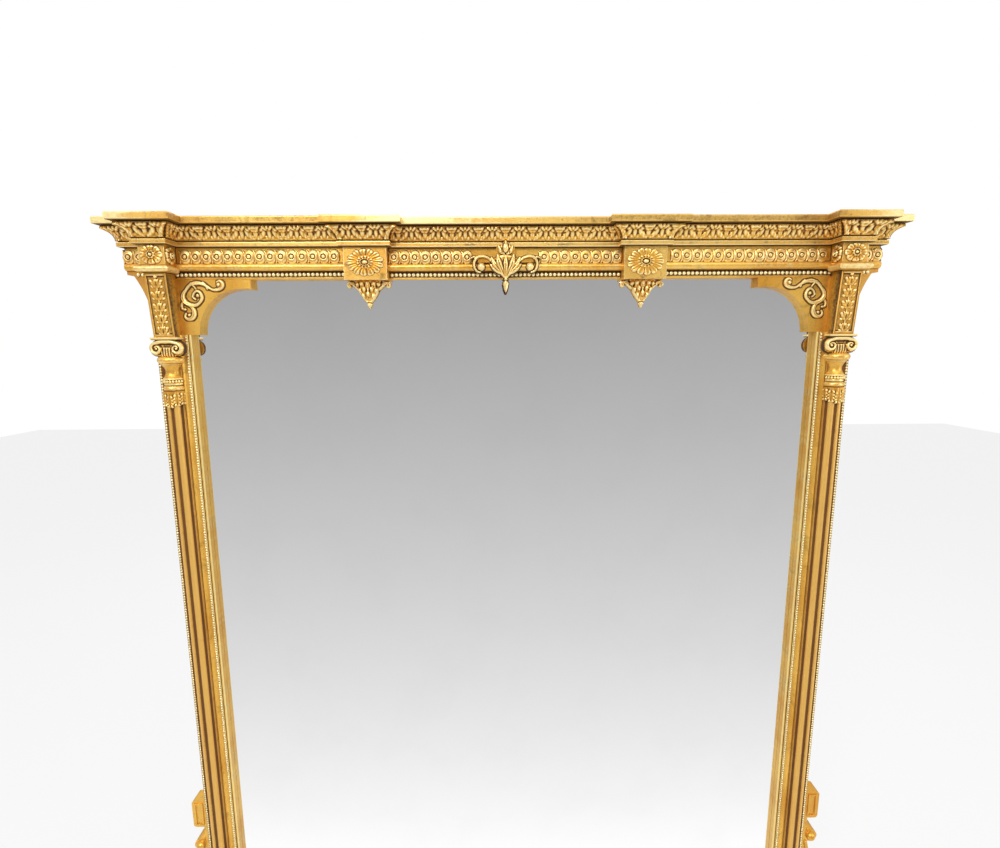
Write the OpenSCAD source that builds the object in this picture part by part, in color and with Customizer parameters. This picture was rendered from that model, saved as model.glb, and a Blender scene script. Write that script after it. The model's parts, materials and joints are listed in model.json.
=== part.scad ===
// Overmantel mirror: a gilt architectural frame that stands on a mantel shelf.
// X runs to the right, Y into the wall and Z up. The origin is the middle of the base's underside.
// "Depth" in a comment is measured into the wall from the front face of the stiles.

/* [Overall] */
// Height from the shelf to the top of the cornice
overall_h = 1885; // [1700:5:2100]
// Width across the outer edges of the two stiles
frame_w = 1540; // [1400:5:1700]
// Depth of the base board from front to back
base_d = 110; // [104:1:130]
// Height of the base board
base_h = 28; // [22:1:36]
// How far the base board stands past each stile
base_over = 68; // [60:1:80]
// Radius of the base board's rounded edge
base_nose_r = 9; // [6:0.5:10]
// Depth of the stiles and the bottom rail
carcase_d = 52; // [50:1:58]

/* [Stiles, rails and glass] */
// Width of each stile's timber
stile_w = 49; // [46:0.5:56]
// Width of the sight moulding round the glass
slip_w = 19.5; // [18:0.5:24]
// Depth at which the glass lies
glass_set = 30; // [30:0.5:34]
// Thickness of the mirror glass
glass_t = 4; // [3:0.5:6]
// Space round the glass inside the rebate
glass_gap = 4; // [2:0.5:6]
// Height of the bottom rail
bottom_rail_h = 92; // [70:1:110]
// Thickness of the back boards
board_t = 8; // [6:0.5:9]
// How far the back boards lap on to the stiles and rails
board_lap = 10; // [8:1:14]
// Number of back boards
board_n = 9; // [5:1:12]
// Gap between neighbouring back boards
board_gap = 1.5; // [0.5:0.5:3]
// Length of the rail tenons
tenon_l = 30; // [20:1:38]
// Thickness of the rail tenons
tenon_t = 8; // [6:0.5:10]
// Clearance round each tenon in its mortise
tenon_play = 0.2; // [0.1:0.05:0.5]
// Shoulder above and below the tenons of the top rail
top_tenon_shoulder = 8; // [6:0.5:12]
// Shoulder above and below the tenons of the bottom rail
low_tenon_shoulder = 20; // [12:1:24]
// Length of a glass wedge block
wedge_l = 60; // [40:5:90]
// Width of a glass wedge block
wedge_w = 14; // [10:1:18]
// Number of wedge blocks up each side of the glass
side_wedge_n = 6; // [3:1:9]
// Distance between the wedge blocks along the top and bottom
wedge_pitch = 260; // [200:5:280]
// Distance of the two blocks that the glass stands on from the middle
setting_block_x = 390; // [350:5:440]

/* [Sight moulding] */
// Width of the moulding's hollow beside the stile
slip_cove_w = 9; // [8.5:0.1:9.2]
// Radius of that hollow
slip_cove_r = 9; // [8.5:0.5:12]
// Depth at which the hollow starts
slip_cove_set = 2; // [1:0.5:3]
// Depth of the flat on which the beads lie
bead_seat_set = 9; // [8:0.5:10]
// Depth of the thin edge next to the glass
slip_edge_set = 12; // [11:0.5:14]
// Width of the thin edge next to the glass
slip_edge_w = 4.5; // [4:0.1:4.8]
// Depth of the flat moulding under the frieze
top_slip_set = 12; // [10:0.5:13]
// Bevel along the lower edge of the flat moulding
top_slip_bevel = 2; // [1:0.5:3]

/* [Hangers and screws] */
// Distance of each hanger plate from the middle
hanger_x = 600; // [540:5:640]
// Height of the hanger holes above the frieze's foot
hanger_up = 29; // [26:0.5:30]
// Length of a hanger plate
hanger_w = 60; // [56:1:70]
// Height of a hanger plate
hanger_h = 24; // [20:1:28]
// Thickness of a hanger plate
hanger_t = 2.5; // [2:0.25:3.5]
// Radius of the hole in a hanger plate
hanger_hole_r = 4.5; // [3.5:0.25:5.5]
// Radius of the pocket behind a hanger hole
hanger_pocket_r = 8; // [7:0.5:9]
// Depth of the pocket behind a hanger hole
hanger_pocket_d = 13; // [10:1:14]
// Distance of a hanger plate's screws from its hole
hanger_screw_x = 22; // [19:0.5:24]
// Radius of a screw's shank
screw_r = 1.7; // [1.4:0.1:2]
// Radius of a screw's head
screw_head_r = 3.2; // [2.8:0.1:3.6]
// Height of a screw's countersunk head
screw_head_h = 1.8; // [1.4:0.1:2.2]
// Length of a screw
screw_l = 14; // [11:0.5:16]
// Clearance round a screw in its hole
screw_play = 0.05; // [0.02:0.01:0.1]
// Distance between the two screws at each end of a back board
screw_spread = 90; // [40:5:95]

/* [Entablature] */
// Height of the cornice fascia
fascia_h = 14.5; // [10:0.5:20]
// Height of the leaf cove with the dark quirk above it
cove_h = 30; // [26:0.5:36]
// Height of the fillet under the leaf cove
fillet_h = 12; // [9:0.5:16]
// Height of the frieze from the fillet down to the sight moulding
frieze_h = 47; // [44:0.5:56]
// Projection of the fascia in front of the frieze
fascia_p = 38; // [34:0.5:44]
// Projection of the top of the leaf cove in front of the frieze
cove_top_p = 28; // [24:0.5:32]
// Radius of the leaf cove's hollow
cove_r = 28; // [24:0.5:40]
// Projection of the fillet in front of the frieze
fillet_p = 10; // [8:0.5:13]
// Half the width of the frieze, end to end
frieze_hw_over = 51; // [44:1:58]
// Depth of the frieze face between the blocks
frieze_set = 6; // [4:0.5:8]
// How much further back the middle run of the frieze lies
middle_set = 14; // [8:0.5:16]
// Distance of the corner block's face in front of the frieze
corner_out = 39; // [34:0.5:44]
// Half the width of a corner block
corner_hw = 27; // [24:0.5:30]
// Distance of the rosette block's face in front of the frieze
rosette_out = 7; // [5:0.5:10]
// Half the width of a rosette block
rosette_hw = 46.5; // [40:0.5:52]
// Distance of a rosette block's centre from the middle of the frame
rosette_x = 304; // [260:1:360]
// Height of the round moulding under the coin band
torus_h = 16; // [12:0.5:18]
// Projection of the round moulding under the coin band
torus_p = 8; // [6:0.5:9]
// How far the round moulding hangs below the frieze's foot
torus_drop = 2.5; // [1:0.5:3]
// How far a rosette block hangs below the flat moulding
rosette_drop = 3; // [2:0.5:5]
// Height of the quirk between the leaf cove and the fascia
quirk_h = 3; // [2:0.5:4]
// Depth of that quirk behind the top of the cove
quirk_in = 6; // [3:0.5:8]

/* [Coin band] */
// Distance between coins
coin_pitch = 22.9; // [21:0.1:26]
// Radius of a coin
coin_r = 12.4; // [11.8:0.1:13.4]
// Thickness of a coin
coin_t = 4; // [3:0.5:6]
// Radius of the raised ring on a coin
coin_ring_r = 6.6; // [5.5:0.1:8]
// Radius of the button in a coin
coin_button_r = 3.6; // [2.5:0.1:4.5]
// Extra room above the coins, over the room below them
coin_top_gap = 7; // [4:0.5:8]
// Half the length of the middle that the coins leave free for the palmette
centre_clear = 72; // [66:1:90]

/* [Beads] */
// Distance between the small beads on the stiles
bead_pitch = 6.35; // [5:0.05:8]
// Distance between the large beads under the frieze
big_bead_pitch = 9.5; // [8:0.1:12]
// How far neighbouring beads sink into each other, as a share of their distance
bead_merge = 0.03; // [0.02:0.01:0.08]

/* [Leaf cove] */
// Distance between broad leaves
leaf_pitch = 58; // [50:1:70]
// Width of a broad leaf
leaf_w = 40; // [34:1:46]
// Width of a slender leaf
slim_leaf_w = 13; // [10:0.5:18]
// Thickness of the leaves over the cove
leaf_t = 3; // [2:0.5:4]
// Gap between a leaf's tip and the quirk
leaf_tip_gap = 0.6; // [0.4:0.1:1.5]

/* [Columns] */
// Distance of a column's axis from the stile's outer edge
column_in = 30; // [28:0.5:33]
// Radius over the reeds of the shaft
shaft_r = 19; // [17:0.1:20]
// Radius of one reed
reed_r = 7.2; // [6.5:0.1:7.6]
// Radius of the large ring under the capital
ring_r = 28; // [26:0.5:30]
// Height of the large ring under the capital
ring_h = 15.5; // [12:0.5:18]
// Height of the hollow neck
neck_h = 33; // [28:0.5:38]
// Radius of the neck at its top
neck_top_r = 23; // [20:0.5:25]
// Radius of the neck at its foot
neck_low_r = 21; // [19:0.5:23]
// Radius of the neck's hollow
neck_hollow_r = 21; // [18:0.5:26]
// Radius of the core that holds the turning's rings together
neck_core_r = 10; // [8:0.5:11]
// Height of the beaded ring
bead_ring_h = 11; // [9:0.5:13]
// Radius of the beaded ring
bead_ring_r = 20; // [19:0.25:21]
// Height of the lower ring with its quirk
low_ring_h = 16; // [14:0.5:20]
// Height of the leaf cup over the shaft
cup_h = 28; // [22:1:34]
// Radius of the leaf cup at its top
cup_r = 21.5; // [20:0.5:23]
// Height of the column's moulded base
column_base_h = 40; // [34:1:50]
// Height of the plinth block under a column
plinth_h = 100; // [80:1:120]
// Half the width of the plinth block
plinth_hw = 29; // [27:0.5:30]
// Distance of the plinth block's face in front of the stile
plinth_out = 33; // [30:0.5:38]

/* [Capitals and consoles] */
// Height of an Ionic capital
capital_h = 42; // [36:0.5:48]
// Half the width of a capital's abacus
abacus_hw = 30; // [27:0.5:32]
// Height of the abacus
abacus_h = 6; // [4:0.5:9]
// Radius of a volute
volute_r = 16; // [14:0.5:18]
// Half the distance between the volute centres
volute_x = 21.5; // [19:0.5:24]
// Width of the raised band of a volute
volute_band = 3.4; // [2.4:0.1:4]
// Distance of a volute's face in front of the stile
volute_out = 22; // [18:0.5:28]
// How far the spiral band of a volute stands up
volute_rise = 3.5; // [2.5:0.5:6]
// Margin of a volute outside its spiral band
volute_rim = 0.6; // [0.4:0.1:1]
// Radius of a volute's eye
volute_eye_r = 4.2; // [3:0.1:5]
// Height of the reeded echinus under the volutes
echinus_h = 14; // [10:0.5:18]
// Half the width of the echinus
echinus_hw = 16; // [14:0.5:18]
// Distance between the reeds of the echinus
reed_step = 5; // [4:0.25:6]
// Height of a console
console_h = 134; // [110:1:150]
// Distance from the frieze's foot down to the top of a console
console_drop = 10; // [8:0.5:12]
// Half the width of a console
console_hw = 23; // [20:0.5:25]
// Distance of a console's foot in front of the stile
console_foot_out = 19; // [14:0.5:24]
// Width of the raised rim round a console's panel
console_rim = 5; // [3:0.5:7]
// Depth of a console's panel
console_sink = 3; // [2:0.5:4]
// Projection of the cap moulding over a console
corner_cap_p = 3; // [1:0.5:3]
// Height of the cap moulding over a console
console_cap_h = 15; // [12:0.5:18]

/* [Carved ornament] */
// Half the width of an oval flower
oval_hw = 41; // [38:0.5:44]
// Half the height of an oval flower
oval_hh = 29; // [27:0.5:31]
// Number of petals of an oval flower
oval_petal_n = 16; // [10:2:18]
// Height of a pendant from its top to its collar
pendant_h = 42; // [36:1:50]
// Half the width of a pendant's body at its top
pendant_top_hw = 27; // [22:0.5:32]
// Half the width of a pendant at its waist
pendant_waist_hw = 10; // [8:0.5:12]
// Distance of a pendant's side tips from its middle
pendant_tip_x = 48; // [44:1:54]
// Thickness of each of a pendant's two layers
pendant_step = 9; // [7:0.5:11]
// Length of the palmette's middle leaf
palm_leaf_l = 58; // [54:0.5:62]
// Thickness of the palmette's plate
palm_plate_t = 4; // [3:0.5:5]
// Length of the drop under the palmette
palm_drop_l = 26; // [20:1:32]
// Radius of the scrolls beside the palmette
scroll_r = 21; // [19:0.5:22]
// Width of the scrolls' band
scroll_band = 6.5; // [5:0.5:8]
// Distance of each scroll's middle from the palmette's
scroll_x = 55; // [52:0.5:58]
// Radius of the balls in the scrolls
scroll_ball_r = 8.6; // [7:0.2:9.4]

/* [Side wings and brackets] */
// Height of the hollow-edged wing below the frieze
wing_h = 119; // [90:1:140]
// Radius of the wing's hollow edge
wing_r = 218; // [180:1:260]
// Width of the wing at its foot
wing_foot_w = 3; // [2:0.5:5]
// Distance from the shelf to the top of the side bracket
bracket_top = 474; // [420:1:520]
// Width of the bracket's square head
bracket_head_w = 35; // [30:1:44]
// Height of the bracket's square head
bracket_head_h = 76; // [60:1:90]
// Width of the bracket at its widest
bracket_w = 62; // [54:1:66]
// Depth of the bracket's front face
bracket_set = 2; // [0:0.5:6]
// Thickness of the bracket
bracket_t = 34; // [24:1:40]
// Distance from the shelf to the bracket's curl
bracket_curl_z = 345; // [320:1:360]
// Radius of the bracket's curl
bracket_curl_r = 17; // [14:0.5:20]
// Width of the bracket's narrow neck
bracket_neck_w = 9; // [7:0.5:12]
// Radius of the volute at the bracket's foot
bracket_foot_r = 27; // [24:0.5:29]

/* [Spandrels] */
// Length of a spandrel along the top
spandrel_w = 161; // [140:1:180]
// Length of a spandrel down the side
spandrel_h = 119; // [100:1:140]
// Radius of a spandrel's hollow edge
spandrel_r = 99; // [88:1:112]
// Length of the straight tab at a spandrel's end
spandrel_tab = 22; // [14:1:30]
// Depth of a spandrel's face
spandrel_set = 14; // [13:0.5:18]
// Distance of the scroll relief's middle from the inner edge of the stile
relief_in = 37; // [34:0.5:40]
// Distance of the scroll relief's middle below the spandrel's top
relief_down = 41; // [38:0.5:44]
// Width of the scroll relief's band
relief_band = 6; // [4:0.5:7]
// Thickness of the scroll relief
relief_t = 4; // [3:0.5:6]
// Radius of the balls in the scroll relief
relief_ball_r = 7; // [5:0.5:8]

/* [Hidden] */
$fn = 48;

gilt = [0.86, 0.66, 0.28];
pale_gilt = [0.93, 0.78, 0.42];
matt_gilt = [0.78, 0.56, 0.26];
bare_pine = [0.72, 0.58, 0.40];
old_pine = [0.55, 0.43, 0.30];
plate_brass = [0.70, 0.58, 0.30];
screw_steel = [0.45, 0.45, 0.46];
silvered = [0.80, 0.82, 0.84];

// How far a shape that cuts runs past what it cuts
overrun = 100;
// Flat border kept between a string of beads and the stile's edge
bead_edge_gap = 0.2;
// A length longer than anything in the object, for cutting planes
far = 2 * (overall_h + frame_w);
half_w = frame_w / 2;
back_y = base_d / 2;
face_y = back_y - carcase_d;
function at(depth) = face_y + depth;

// Levels, counted down from the top of the cornice
fascia_z = overall_h - fascia_h;
cove_z = fascia_z - cove_h;
fillet_z = cove_z - fillet_h;
frieze_z = fillet_z - frieze_h;
sight_top_z = frieze_z - slip_w;
torus_z = frieze_z - torus_drop;
coin_z = torus_z + torus_h + (fillet_z - torus_z - torus_h - coin_top_gap) / 2;
big_bead_r = big_bead_pitch * (0.5 + bead_merge);
bead_r = bead_pitch * (0.5 + bead_merge);
big_bead_z = sight_top_z + slip_w / 2;

// Levels, counted up from the shelf
rail_top_z = base_h + bottom_rail_h;
sight_low_z = rail_top_z + slip_w;
inner_x = half_w - stile_w;
sight_x = inner_x - slip_w;

// Entablature blocks: left edge, right edge and depth of the frieze face, for the right half
end_x = half_w + frieze_hw_over;
column_x = half_w - column_in;
corner_set = frieze_set - corner_out;
rosette_set = frieze_set - rosette_out;
centre_set = frieze_set + middle_set;
run_block = [rosette_x - rosette_hw, end_x, frieze_set];
corner_span = [column_x - corner_hw, column_x + corner_hw, corner_set];
rosette_span = [rosette_x - rosette_hw, rosette_x + rosette_hw, rosette_set];

// Console, capital and column levels
cap_z = frieze_z - console_drop;
console_top_z = cap_z;
console_z = console_top_z - console_h;
capital_z = console_z - capital_h;
ring_z = capital_z - ring_h;
neck_z = ring_z - neck_h;
bead_ring_z = neck_z - bead_ring_h;
low_ring_z = bead_ring_z - low_ring_h;
cup_z = low_ring_z - cup_h;
plinth_z = base_h + plinth_h;
shaft_z = plinth_z + column_base_h;
spandrel_z = sight_top_z - spandrel_h;

inner_bead_x = inner_x - slip_cove_w - (slip_w - slip_cove_w - slip_edge_w) / 2;
outer_bead_x = half_w - bead_r - bead_edge_gap;
bottom_bead_z = rail_top_z + inner_x - inner_bead_x;
rail_set = glass_set;
rosette_low_z = sight_top_z - rosette_drop;

module both_sides() {
    children();
    mirror([1, 0, 0]) children();
}

// Keeps only what lies in front of the given depth
module in_front_of(depth) {
    intersection() {
        children();
        translate([-far / 2, at(depth) - far, -far / 2]) cube([far, far, far]);
    }
}

// Centre of the circle of radius r through a and b, to the right of the way from a to b
function hollow_centre(a, b, r) =
    let (d = b - a, l = norm(d)) (a + b) / 2 + [d[1], -d[0]] / l * sqrt(r * r - l * l / 4);

// Lays ornament that is drawn flat, and rises along Z, on a face that looks to the front
module on_face(x, depth, z) {
    translate([x, at(depth), z]) rotate([90, 0, 0]) children();
}

// Half a ball on the plane z = 0
module dome(r) {
    rotate_extrude() intersection() {
        circle(r = r);
        square(r);
    }
}

// Half of a turning that lies along the way from a to b on the plane z = 0
module half_turning(a, b) {
    d = b - a;
    translate([a[0], a[1], 0]) rotate([0, 0, atan2(d[1], d[0])]) rotate([90, 0, 90])
        rotate_extrude(angle = 180) children();
}

// A round-ended half rod on the plane z = 0
module half_rod(a, b, r) {
    half_turning(a, b) intersection() {
        union() {
            square([r, norm(b - a)]);
            circle(r = r);
            translate([0, norm(b - a)]) circle(r = r);
        }
        translate([0, -r]) square([r, norm(b - a) + 2 * r]);
    }
}

// A petal on the plane z = 0, pointed at both ends and w wide in the middle
module petal(a, b, w) {
    l = norm(b - a);
    bend_r = (l * l + w * w) / (4 * w);
    half_turning(a, b) intersection() {
        translate([w / 2 - bend_r, l / 2]) circle(r = bend_r, $fn = 96);
        square([w, l]);
    }
}

// The same petal as a flat outline
module petal_outline(a, b, w) {
    l = norm(b - a);
    bend_r = (l * l + w * w) / (4 * w);
    d = b - a;
    translate(a) rotate(atan2(d[1], d[0])) intersection() {
        translate([l / 2, w / 2 - bend_r]) circle(r = bend_r, $fn = 96);
        translate([l / 2, bend_r - w / 2]) circle(r = bend_r, $fn = 96);
    }
}

// A rod with round ends between two points
module capsule(a, b, r) {
    d = b - a;
    len_d = norm(d);
    tilt = acos(d[2] / len_d);
    turn = atan2(d[1], d[0]);
    translate(a) rotate([0, tilt, turn]) cylinder(r = r, h = len_d);
    translate(a) sphere(r = r);
    translate(b) sphere(r = r);
}

// Turns a flat profile, drawn as outward and up, into a bar along X that faces the front
module front_bar(x0, x1) {
    translate([x0, 0, 0]) rotate([90, 0, 90]) linear_extrude(height = x1 - x0) mirror([1, 0]) children();
}

// A rectangular block whose front and ends carry the same profile, mitred at the corners
module mitred_block(x0, x1, y) {
    intersection() {
        translate([0, y, 0]) front_bar(x0 - overrun, x1 + overrun) children();
        translate([x1, back_y, 0]) rotate([90, 0, 0]) linear_extrude(height = back_y - y + overrun) children();
        translate([x0, back_y, 0]) rotate([90, 0, 0]) linear_extrude(height = back_y - y + overrun)
            mirror([1, 0]) children();
        translate([x0 - overrun, y - overrun, -far / 2])
            cube([x1 - x0 + 2 * overrun, back_y - y + overrun, far]);
    }
}

// The whole broken run of the entablature with one profile
module entablature() {
    both_sides() {
        mitred_block(run_block[0], run_block[1], at(run_block[2])) children();
        mitred_block(corner_span[0], corner_span[1], at(corner_span[2])) children();
        mitred_block(rosette_span[0], rosette_span[1], at(rosette_span[2])) children();
    }
    intersection() {
        translate([0, at(centre_set), 0]) front_bar(-rosette_x, rosette_x) children();
        translate([-rosette_x, at(centre_set) - overrun, -far / 2])
            cube([2 * rosette_x, back_y - at(centre_set) + overrun, far]);
    }
}

// Carcase
module base_profile() {
    translate([-far, 0]) square([far - base_nose_r, base_h]);
    translate([-base_nose_r * 1.2, 0]) square([base_nose_r * 1.2, base_h - 2 * base_nose_r]);
    translate([-base_nose_r, base_h - base_nose_r]) circle(r = base_nose_r);
}

module base_board() {
    color(gilt) mitred_block(-half_w - base_over, half_w + base_over, -base_d / 2) base_profile();
}

// A cut that takes the back boards along their whole height
module board_rebate() {
    translate([-inner_x - board_lap, back_y - board_t, board_low_z])
        cube([2 * (inner_x + board_lap), board_t + 1, board_high_z - board_low_z]);
}

// The tenon at the right-hand end of a rail, with play added for the mortise
module tenon(z, h, play) {
    tenon_y = (at(rail_set) + back_y - board_t) / 2;
    translate([inner_x - 1, tenon_y - tenon_t / 2 - play, z - play])
        cube([tenon_l + 1 + play, tenon_t + 2 * play, h + 2 * play]);
}

top_tenon_z = frieze_z + top_tenon_shoulder;
top_tenon_h = frieze_h - 2 * top_tenon_shoulder;
low_tenon_z = base_h + low_tenon_shoulder;
low_tenon_h = bottom_rail_h - 2 * low_tenon_shoulder;

module right_stile() {
    color(matt_gilt) difference() {
        translate([inner_x, at(0), base_h]) cube([stile_w, carcase_d, fillet_z - base_h]);
        board_rebate();
        tenon(top_tenon_z, top_tenon_h, tenon_play);
        tenon(low_tenon_z, low_tenon_h, tenon_play);
    }
}

module left_stile() {
    mirror([1, 0, 0]) right_stile();
}

// Places for the back board screws: along the boards, near both rails
board_pitch = 2 * (inner_x + board_lap) / board_n;
board_low_z = rail_top_z - board_lap;
board_high_z = frieze_z + board_lap;
board_screw_xs = [
    for (i = [0:board_n - 1]) for (s = [-1, 1])
        -inner_x - board_lap + (i + 0.5) * board_pitch + s * screw_spread / 2
];

// A countersunk screw whose head lies flush with the back plane of a board or plate
module screw(play) {
    rotate([90, 0, 0]) {
        cylinder(r1 = screw_head_r + play, r2 = screw_r + play, h = screw_head_h);
        translate([0, 0, screw_head_h]) cylinder(r = screw_r + play, h = screw_l - screw_head_h + play);
    }
}

module board_screws(play) {
    for (x = board_screw_xs) for (z = [board_low_z + board_lap / 2, board_high_z - board_lap / 2])
        translate([x, back_y, z]) screw(play);
}

hanger_z = frieze_z + hanger_up;

module hanger_screw_set(play) {
    for (s = [-1, 1]) for (e = [-1, 1])
        translate([s * hanger_x + e * hanger_screw_x, back_y, hanger_z]) screw(play);
}

module top_rail() {
    color(bare_pine) difference() {
        union() {
            translate([-inner_x, at(rail_set), frieze_z]) cube([2 * inner_x, back_y - at(rail_set), frieze_h]);
            both_sides() tenon(top_tenon_z, top_tenon_h, 0);
        }
        board_rebate();
        board_screws(screw_play);
        hanger_screw_set(screw_play);
        for (s = [-1, 1]) {
            translate([s * hanger_x - hanger_w / 2, back_y - hanger_t, hanger_z - hanger_h / 2])
                cube([hanger_w, hanger_t + 1, hanger_h]);
            translate([s * hanger_x, back_y, hanger_z]) rotate([90, 0, 0])
                cylinder(r = hanger_pocket_r, h = hanger_pocket_d);
        }
    }
}

module bottom_rail() {
    color(matt_gilt) difference() {
        union() {
            translate([-inner_x, at(0), base_h]) cube([2 * inner_x, carcase_d, bottom_rail_h]);
            both_sides() tenon(low_tenon_z, low_tenon_h, 0);
        }
        board_rebate();
        board_screws(screw_play);
    }
}

// Glass and back
module mirror_glass() {
    glass_w = 2 * (inner_x - glass_gap);
    glass_low = rail_top_z + glass_gap;
    glass_high = frieze_z - glass_gap;
    color(silvered) translate([-glass_w / 2, at(glass_set), glass_low])
        cube([glass_w, glass_t, glass_high - glass_low]);
}

module glass_blocks() {
    wedge_y = at(glass_set) + glass_t;
    wedge_t = back_y - board_t - wedge_y;
    span = frieze_z - rail_top_z - 3 * wedge_l;
    color(bare_pine) {
        both_sides() for (i = [0:side_wedge_n - 1])
            translate([inner_x - wedge_w, wedge_y, rail_top_z + wedge_l + i * span / (side_wedge_n - 1)])
                cube([wedge_w, wedge_t, wedge_l]);
        for (i = [-2:2]) {
            translate([i * wedge_pitch - wedge_l / 2, wedge_y, frieze_z - wedge_w])
                cube([wedge_l, wedge_t, wedge_w]);
            translate([i * wedge_pitch - wedge_l / 2, wedge_y, rail_top_z]) cube([wedge_l, wedge_t, wedge_w]);
        }
        // The two blocks that the glass stands on
        for (s = [-1, 1]) translate([s * setting_block_x - wedge_l / 2, at(glass_set), rail_top_z])
            cube([wedge_l, glass_t, glass_gap]);
    }
}

module back_boards() {
    color(old_pine) difference() {
        for (i = [0:board_n - 1])
            translate([-inner_x - board_lap + i * board_pitch + board_gap / 2, back_y - board_t, board_low_z])
                cube([board_pitch - board_gap, board_t, board_high_z - board_low_z]);
        board_screws(screw_play);
    }
}

module back_board_screws() {
    color(screw_steel) board_screws(0);
}

module hanger_plates() {
    color(plate_brass) difference() {
        for (s = [-1, 1]) translate([s * hanger_x - hanger_w / 2, back_y - hanger_t, hanger_z - hanger_h / 2])
            cube([hanger_w, hanger_t, hanger_h]);
        for (s = [-1, 1]) translate([s * hanger_x, back_y + 1, hanger_z]) rotate([90, 0, 0])
            cylinder(r = hanger_hole_r, h = hanger_t + 2);
        hanger_screw_set(screw_play);
    }
}

module hanger_screws() {
    color(screw_steel) hanger_screw_set(0);
}

// Sight mouldings, drawn as distance from the stile towards the glass and depth
module slip_profile() {
    hollow_a = [0, slip_cove_set];
    hollow_b = [slip_cove_w, bead_seat_set];
    difference() {
        polygon([
            hollow_a, hollow_b, [slip_w - slip_edge_w, bead_seat_set],
            [slip_w - slip_edge_w, slip_edge_set], [slip_w, slip_edge_set + 2], [slip_w, glass_set],
            [0, glass_set]
        ]);
        translate(hollow_centre(hollow_a, hollow_b, slip_cove_r)) circle(r = slip_cove_r);
    }
}

// Cuts the top end of a side moulding square under the spandrel and mitres its foot
module right_sight_moulding() {
    color(gilt) intersection() {
        translate([0, 0, rail_top_z]) linear_extrude(height = spandrel_z - rail_top_z)
            translate([inner_x, at(0)]) mirror([1, 0]) slip_profile();
        // Keeps the part above a line at 45 degrees through the outer corner of the mitre
        translate([inner_x, at(0) - far / 2, rail_top_z]) rotate([0, 45, 0]) translate([-far / 2, 0, 0])
            cube([far, far, far]);
    }
}

module left_sight_moulding() {
    mirror([1, 0, 0]) right_sight_moulding();
}

module bottom_sight_moulding() {
    color(gilt) intersection() {
        translate([-inner_x, at(0), rail_top_z]) rotate([0, 90, 0]) linear_extrude(height = 2 * inner_x)
            mirror([1, 0]) slip_profile();
        translate([inner_x, at(0) - far / 2, rail_top_z]) rotate([0, 45, 0]) translate([-far / 2, 0, -far])
            cube([far, far, far]);
        translate([-inner_x, at(0) - far / 2, rail_top_z]) rotate([0, -45, 0]) translate([-far / 2, 0, -far])
            cube([far, far, far]);
    }
}

// The flat moulding under the frieze, drawn as outward and up
module top_slip_profile(seat) {
    polygon([
        [seat - glass_set, sight_top_z], [-top_slip_bevel, sight_top_z], [0, sight_top_z + top_slip_bevel],
        [0, frieze_z], [seat - glass_set, frieze_z]
    ]);
}

module top_sight_moulding() {
    side_seat = top_slip_set;
    mid_seat = top_slip_set + middle_set;
    inner_edge = rosette_x - rosette_hw;
    color(gilt) {
        both_sides() translate([0, at(side_seat), 0]) front_bar(rosette_x + rosette_hw, inner_x)
            top_slip_profile(side_seat);
        translate([0, at(mid_seat), 0]) front_bar(-inner_edge, inner_edge) top_slip_profile(mid_seat);
    }
}

// Beads: half of a string of beads, standing along Z and facing the front
module bead_string(pitch, r, length) {
    n = floor(length / pitch);
    start = (length - (n - 1) * pitch) / 2;
    rotate([0, 0, 180]) rotate_extrude(angle = 180) intersection() {
        union() {
            for (i = [0:n - 1]) translate([0, start + i * pitch]) circle(r = r, $fn = 24);
            square([r * 0.45, length]);
        }
        square([r * 2, length]);
    }
}

module right_inner_beads() {
    low_z = bottom_bead_z + 2 * bead_r;
    color(pale_gilt) translate([inner_bead_x, at(bead_seat_set), low_z])
        bead_string(bead_pitch, bead_r, spandrel_z - low_z);
}

module left_inner_beads() {
    mirror([1, 0, 0]) right_inner_beads();
}

module right_outer_beads() {
    color(pale_gilt) {
        translate([outer_bead_x, at(0), shaft_z]) bead_string(bead_pitch, bead_r, ring_z - shaft_z);
        translate([outer_bead_x, at(0), console_z]) bead_string(bead_pitch, bead_r, cap_z - console_z);
    }
}

module left_outer_beads() {
    mirror([1, 0, 0]) right_outer_beads();
}

module bead_row(x0, x1, depth, z, pitch, r) {
    translate([x0, at(depth), z]) rotate([0, 90, 0]) bead_string(pitch, r, x1 - x0);
}

module top_beads() {
    gap_edge = rosette_x - rosette_hw;
    color(pale_gilt) {
        both_sides() {
            bead_row(rosette_x + rosette_hw, inner_x, top_slip_set, big_bead_z, big_bead_pitch, big_bead_r);
            bead_row(half_w, end_x - frieze_hw_over / 3, frieze_set, big_bead_z, big_bead_pitch, big_bead_r);
        }
        bead_row(-gap_edge, gap_edge, top_slip_set + middle_set, big_bead_z, big_bead_pitch, big_bead_r);
    }
}

module bottom_beads() {
    end = inner_bead_x + bead_r;
    color(pale_gilt) bead_row(-end, end, bead_seat_set, bottom_bead_z, bead_pitch, bead_r);
}

// Columns
module reed_section() {
    ring = shaft_r - reed_r;
    circle(r = ring + reed_r * 0.35);
    for (a = [-108:72:108]) rotate(a) translate([0, -ring]) circle(r = reed_r);
}

module on_column() {
    translate([column_x, at(0), 0]) children();
}

// A half turning about the column's axis, flat where it lies on the stile
module turned() {
    on_column() rotate([0, 0, 180]) rotate_extrude(angle = 180) children();
}

module right_shaft() {
    color(matt_gilt) on_column() translate([0, 0, shaft_z]) linear_extrude(height = cup_z - shaft_z)
        intersection() {
            reed_section();
            translate([-2 * shaft_r, -2 * shaft_r]) square([4 * shaft_r, 2 * shaft_r]);
        }
}

module left_shaft() {
    mirror([1, 0, 0]) right_shaft();
}

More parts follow.
